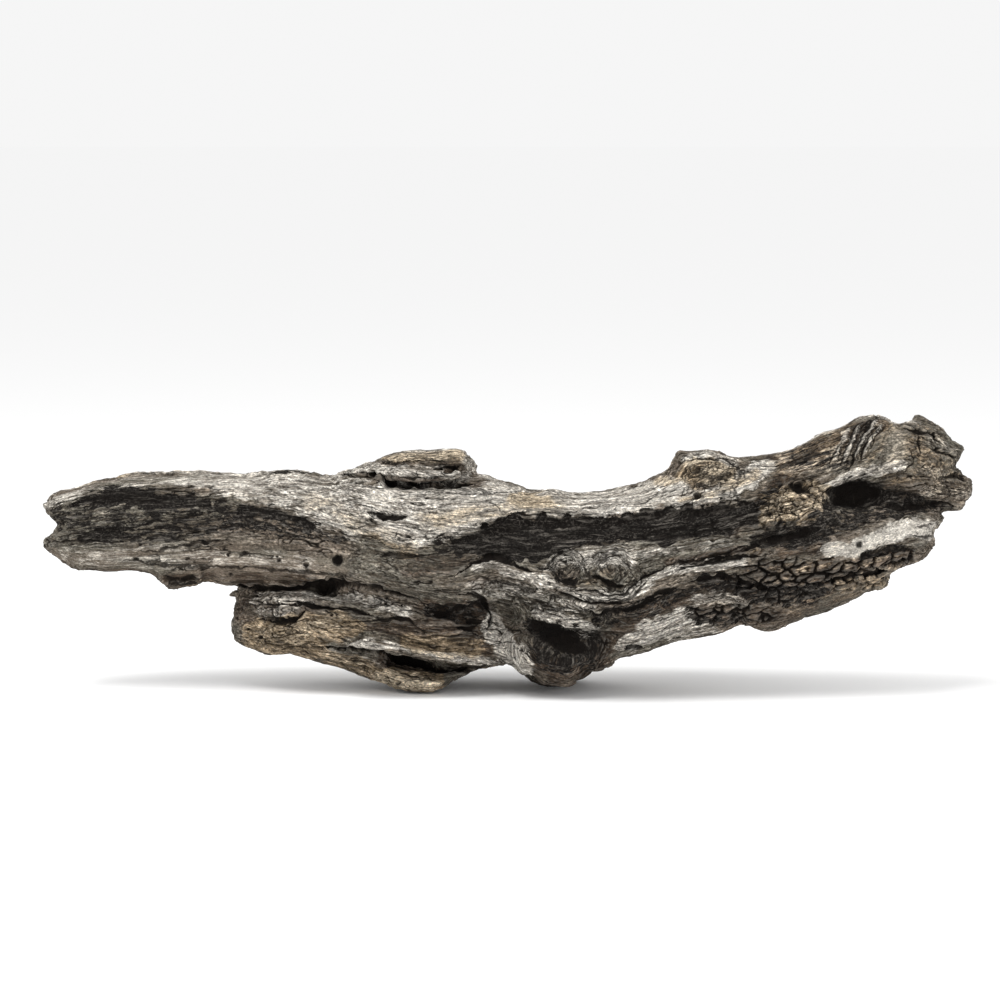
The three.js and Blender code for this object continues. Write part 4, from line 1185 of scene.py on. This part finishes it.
# The skin is unrolled for anyone who bakes its colours. A smoothed copy gives large, even patches.
SMOOTHING = 40
PATCH_TURN = math.radians(66)
PATCH_GAP = 0.003
unrolled = wood.copy()
unrolled.data = wood.data.copy()
bpy.context.scene.collection.objects.link(unrolled)
calmed = evaluated(unrolled, "unrolled", ("SMOOTH", {"factor": 0.5, "iterations": SMOOTHING}))
calmed.data.uv_layers.new(name="OFBake")
bpy.context.view_layer.objects.active = calmed
calmed.select_set(True)
bpy.ops.object.mode_set(mode="EDIT")
bpy.ops.mesh.select_all(action="SELECT")
bpy.ops.uv.smart_project(angle_limit=PATCH_TURN, island_margin=PATCH_GAP, scale_to_bounds=True)
bpy.ops.object.mode_set(mode="OBJECT")
places = np.empty(len(calmed.data.loops) * 2, np.float32)
calmed.data.uv_layers["OFBake"].uv.foreach_get("vector", places)
wood.data.uv_layers.new(name="OFBake").uv.foreach_set("vector", places)
bpy.data.objects.remove(calmed)

# ---- The finish ---------------------------------------------------------------------------------------
# Dry bare wood with no sheen: silver where sun has bleached it, brown where it is younger, black where it
# has charred, and near-black with painted shade in every crack and hollow.

tree = weathered.node_tree
tree.nodes.clear()


def painted(name, kind="Fac"):
    """A number or a vector that the skin carries under this name."""
    made = tree.nodes.new("ShaderNodeAttribute")
    made.attribute_name = name
    return made.outputs[kind]


def mixed(factor, a, b):
    """Colour a where factor is 0, carried over to colour b where it is 1."""
    made = tree.nodes.new("ShaderNodeMix")
    made.data_type = "RGBA"
    for socket, value in ((made.inputs[0], factor), (made.inputs[6], a), (made.inputs[7], b)):
        if isinstance(value, bpy.types.NodeSocket):
            tree.links.new(value, socket)
        else:
            socket.default_value = value
    return made.outputs[2]


GREY_GREEN = (0.24, 0.222, 0.18, 1)
GREY_BROWN = (0.262, 0.21, 0.163, 1)
GREY_DARK = (0.11, 0.09, 0.067, 1)
SILVER = (0.87, 0.82, 0.735, 1)
SILVER_DARK = (0.44, 0.395, 0.335, 1)
HONEY = (0.88, 0.74, 0.55, 1)
HONEY_DARK = (0.44, 0.35, 0.24, 1)
UMBER = (0.11, 0.08, 0.057, 1)
UMBER_DARK = (0.036, 0.026, 0.018, 1)
TAN = (0.44, 0.335, 0.22, 1)
TAN_DARK = (0.17, 0.126, 0.077, 1)
CHAR = (0.0085, 0.007, 0.006, 1)
CHAR_GREY = (0.15, 0.135, 0.117, 1)
# The black of painted shade in hollows, pits and cracks.
SHADE_BLACK = (0.007, 0.0052, 0.004, 1)

grain_at = painted("grain", "Vector")
char = painted("char")
cubes = painted("cubes")
smooth = painted("worn_smooth")
height, crack_depth, dips, dome, wavy = weather(tree, grain_at, char, cubes, smooth)

# Patterns that follow the fibres, from broad streaks to fine hairs, and the grit and pits between them.
streak = ramp(tree, noise(tree, wavy, 0.022, 0.55, 4, 0.65), 0.34, 0.66)
mottle = ramp(tree, noise(tree, wavy, 0.06, 0.16, 4, 0.6), 0.34, 0.66)
fleck = ramp(tree, noise(tree, wavy, 0.3, 1.2, 4, 0.7), 0.36, 0.64)
grit = ramp(tree, noise(tree, grain_at, 0.7, 1.15, 3, 0.7), 0.38, 0.64)
pit = ramp(tree, noise(tree, wavy, 0.42, 1.0, 2, 0.6), 0.56, 0.66)
pit = times(tree, pit, times_plus(tree, smooth, -0.75, 1.0))
speckle = ramp(tree, noise(tree, wavy, 0.13, 0.5, 4, 0.7), 0.38, 0.62)
hair = noise(tree, wavy, 0.032, 0.72, 2, 0.5)
hair = ramp(tree, from_middle(tree, hair), 0.0, 0.12, 1.0, 0.0)
hair = times(tree, hair, ramp(tree, noise(tree, wavy, 0.06, 0.3, 2), 0.38, 0.58))
strays = maths(tree, "ADD", times(tree, streak, 0.3), times(tree, mottle, 0.3))
strays = times_plus(tree, fleck, 0.2, strays)
strays = maths(tree, "SUBTRACT", strays, 0.4)


def ragged(name, low=0.15, high=0.85):
    """A painted mask whose edge breaks up along the fibres."""
    return ramp(tree, maths(tree, "ADD", painted(name), strays), low, high)


# A drawn crack is darkened with painted shade by how far off it is, which keeps its edges sharp: the seam
# holds the distance with a sign, the plain distance, and half the crack's width, all in millimetres.
seam_at = node(tree, "ShaderNodeSeparateXYZ", painted("seam", "Vector")).node.outputs
seam_off = maths(tree, "ABSOLUTE", times_plus(tree, maths(tree, "SUBTRACT", fleck, 0.5), 0.5, seam_at[0]))
seam_off = maths(tree, "DIVIDE", seam_off, maths(tree, "MAXIMUM", seam_at[2], 0.2))
seam_open = ramp(tree, maths(tree, "SUBTRACT", seam_at[1], seam_at[2]), 1.5, 2.8, 1.0, 0.0)
split = times(tree, ramp(tree, seam_off, 0.5, 1.35, 1.0, 0.0), seam_open)
split = times(tree, split, painted("seam_shade"))

# Bare wood comes first: grey, then umber, tan and bleached silver laid over it where each is painted.
streak_line = times_plus(tree, streak, 0.85, 0.15)
leaning = ramp(tree, noise(tree, grain_at, 0.012, 0.04, 2), 0.4, 0.6)
streak = mixed(times(tree, smooth, 0.7), streak, (0.72, 0.72, 0.72, 1))
colour = mixed(streak, GREY_DARK, mixed(leaning, GREY_GREEN, GREY_BROWN))
colour = mixed(ragged("umber"), colour, mixed(mottle, UMBER_DARK, UMBER))
colour = mixed(ragged("warm"), colour, mixed(mottle, TAN_DARK, TAN))
honeyed = mixed(ragged("warm"), mixed(streak, SILVER_DARK, SILVER), mixed(streak, HONEY_DARK, HONEY))
colour = mixed(ragged("bleach"), colour, honeyed)

# Flecks, mottle, grit and the blocks' domes lighten or darken it. Smooth wood keeps an even tone.
tone = mixed(times(tree, smooth, 0.6), fleck, (0.5, 0.5, 0.5, 1))
tone = times_plus(tree, tone, 1.0, 0.45)
tone = times(tree, tone, times_plus(tree, mottle, 0.3, 0.85))
tone = times(tree, tone, times_plus(tree, grit, 0.7, 0.68))
tone = times(tree, tone, times_plus(tree, dome, 1.3, times_plus(tree, cubes, -0.4, 1.0)))
colour = node(tree, "ShaderNodeVectorMath", colour, operation="SCALE", inputs={"Scale": tone})

# Char goes over that, with ash and grey fibres in it, ragged along the grain.
ash = times(tree, ramp(tree, grit, 0.5, 1.0), times_plus(tree, mottle, 0.6, 0.1))
grey_fibre = ramp(tree, noise(tree, wavy, 0.05, 0.6, 4, 0.7), 0.5, 0.68)
ash = times_plus(tree, times(tree, grey_fibre, streak_line), 1.9, ash)
black = mixed(ash, CHAR, CHAR_GREY)
charred = times_plus(tree, maths(tree, "SUBTRACT", speckle, 0.5), 1.1, char)
charred = times_plus(tree, strays, 0.85, charred)
charred = times(tree, ramp(tree, charred, 0.33, 0.55), ramp(tree, char, 0.02, 0.15))
colour = mixed(charred, colour, black)

# Painted shade darkens hollows, dips, pits, hairlines and cracks, and edges are rubbed pale.
fine = ramp(tree, painted("fine_hollow"), -0.35, 0.35)
colour = mixed(times(tree, ramp(tree, fine, 0.5, 1.0), 0.4), colour, SHADE_BLACK)
colour = mixed(times(tree, dips, 0.38), colour, SHADE_BLACK)
colour = mixed(ramp(tree, painted("wide_hollow"), 0.3, 2.6, 0.0, 0.75), colour, SHADE_BLACK)
rubbed = mixed(0.5, colour, SILVER)
bared = times_plus(tree, charred, -0.15, 0.18)
colour = mixed(times(tree, ramp(tree, fine, 0.5, 0.0), bared), colour, rubbed)
colour = mixed(times(tree, pit, 0.3), colour, SHADE_BLACK)
colour = mixed(times(tree, hair, times_plus(tree, smooth, -0.3, 0.62)), colour, SHADE_BLACK)
# Painted shade in the long checks and in the gaps between rot's blocks.
colour = mixed(times(tree, crack_depth, 0.85), colour, SHADE_BLACK)
# Painted shade in the hollows.
colour = mixed(ragged("hollow_shade", 0.2, 1.1), colour, SHADE_BLACK)
# Painted shade on the floors of the drawn cracks and holes.
colour = mixed(times(tree, split, 0.92), colour, SHADE_BLACK)

# Threads finer than the skin's mesh are bump.
BUMP_DEPTH = 0.8 * MM
strand = noise(tree, wavy, 0.06, 2.0, 3, 0.6)
bump_height = maths(tree, "ADD", times(tree, strand, 0.5), times(tree, fleck, 0.35))
bump_height = times_plus(tree, pit, -0.5, bump_height)
bump_height = times_plus(tree, hair, -0.4, bump_height)
bump_height = times_plus(tree, split, -1.2, bump_height)
bump_height = times_plus(tree, height, 0.5, bump_height)
bump = tree.nodes.new("ShaderNodeBump")
bump.inputs["Strength"].default_value = 1.0
bump.inputs["Distance"].default_value = BUMP_DEPTH
tree.links.new(bump_height, bump.inputs["Height"])

surface = tree.nodes.new("ShaderNodeBsdfPrincipled")
tree.links.new(colour, surface.inputs["Base Color"])
tree.links.new(bump.outputs[0], surface.inputs["Normal"])
tree.links.new(ramp(tree, fleck, 0, 1, 0.85, 0.97), surface.inputs["Roughness"])
surface.inputs["Specular IOR Level"].default_value = 0.12
finish_node = tree.nodes.new("ShaderNodeOutputMaterial")
tree.links.new(surface.outputs[0], finish_node.inputs[0])

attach(wood, "root")
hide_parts("driftwood")

# ---- Floor and light ----------------------------------------------------------------------------------
# A plain white floor with no edge in sight. The light is broad and soft: a pale sky, a key lamp above and
# a fill lamp low in front.

FLOOR_SPAN = 30
floor = bpy.data.objects.new("floor", bpy.data.meshes.new("floor"))
bm = bmesh.new()
bmesh.ops.create_grid(bm, x_segments=1, y_segments=1, size=FLOOR_SPAN)
bm.to_mesh(floor.data)
bm.free()
bpy.context.scene.collection.objects.link(floor)
paper = bpy.data.materials.new("pale floor")
paper.use_nodes = True
for name, value in {"Base Color": (0.99, 0.99, 0.99, 1), "Roughness": 1.0, "Specular IOR Level": 0.0}.items():
    paper.node_tree.nodes["Principled BSDF"].inputs[name].default_value = value
floor.data.materials.append(paper)

sky = bpy.data.worlds.new("studio")
sky.use_nodes = True
sky.node_tree.nodes["Background"].inputs[0].default_value = (1, 1, 1, 1)
sky.node_tree.nodes["Background"].inputs[1].default_value = 0.92
bpy.context.scene.world = sky

AIM = Vector((0, 0, 0.08))


def soft_light(name, place, size, power):
    lamp = bpy.data.objects.new(name, bpy.data.lights.new(name, "AREA"))
    lamp.data.size = size
    lamp.data.energy = power
    lamp.location = place
    lamp.rotation_euler = (AIM - Vector(place)).to_track_quat("-Z", "Y").to_euler()
    bpy.context.scene.collection.objects.link(lamp)


soft_light("key", (-0.4, -0.5, 1.6), 0.9, 18)
soft_light("fill", (0.9, -1.6, 0.8), 1.2, 6)
bpy.context.scene.view_settings.view_transform = "Standard"
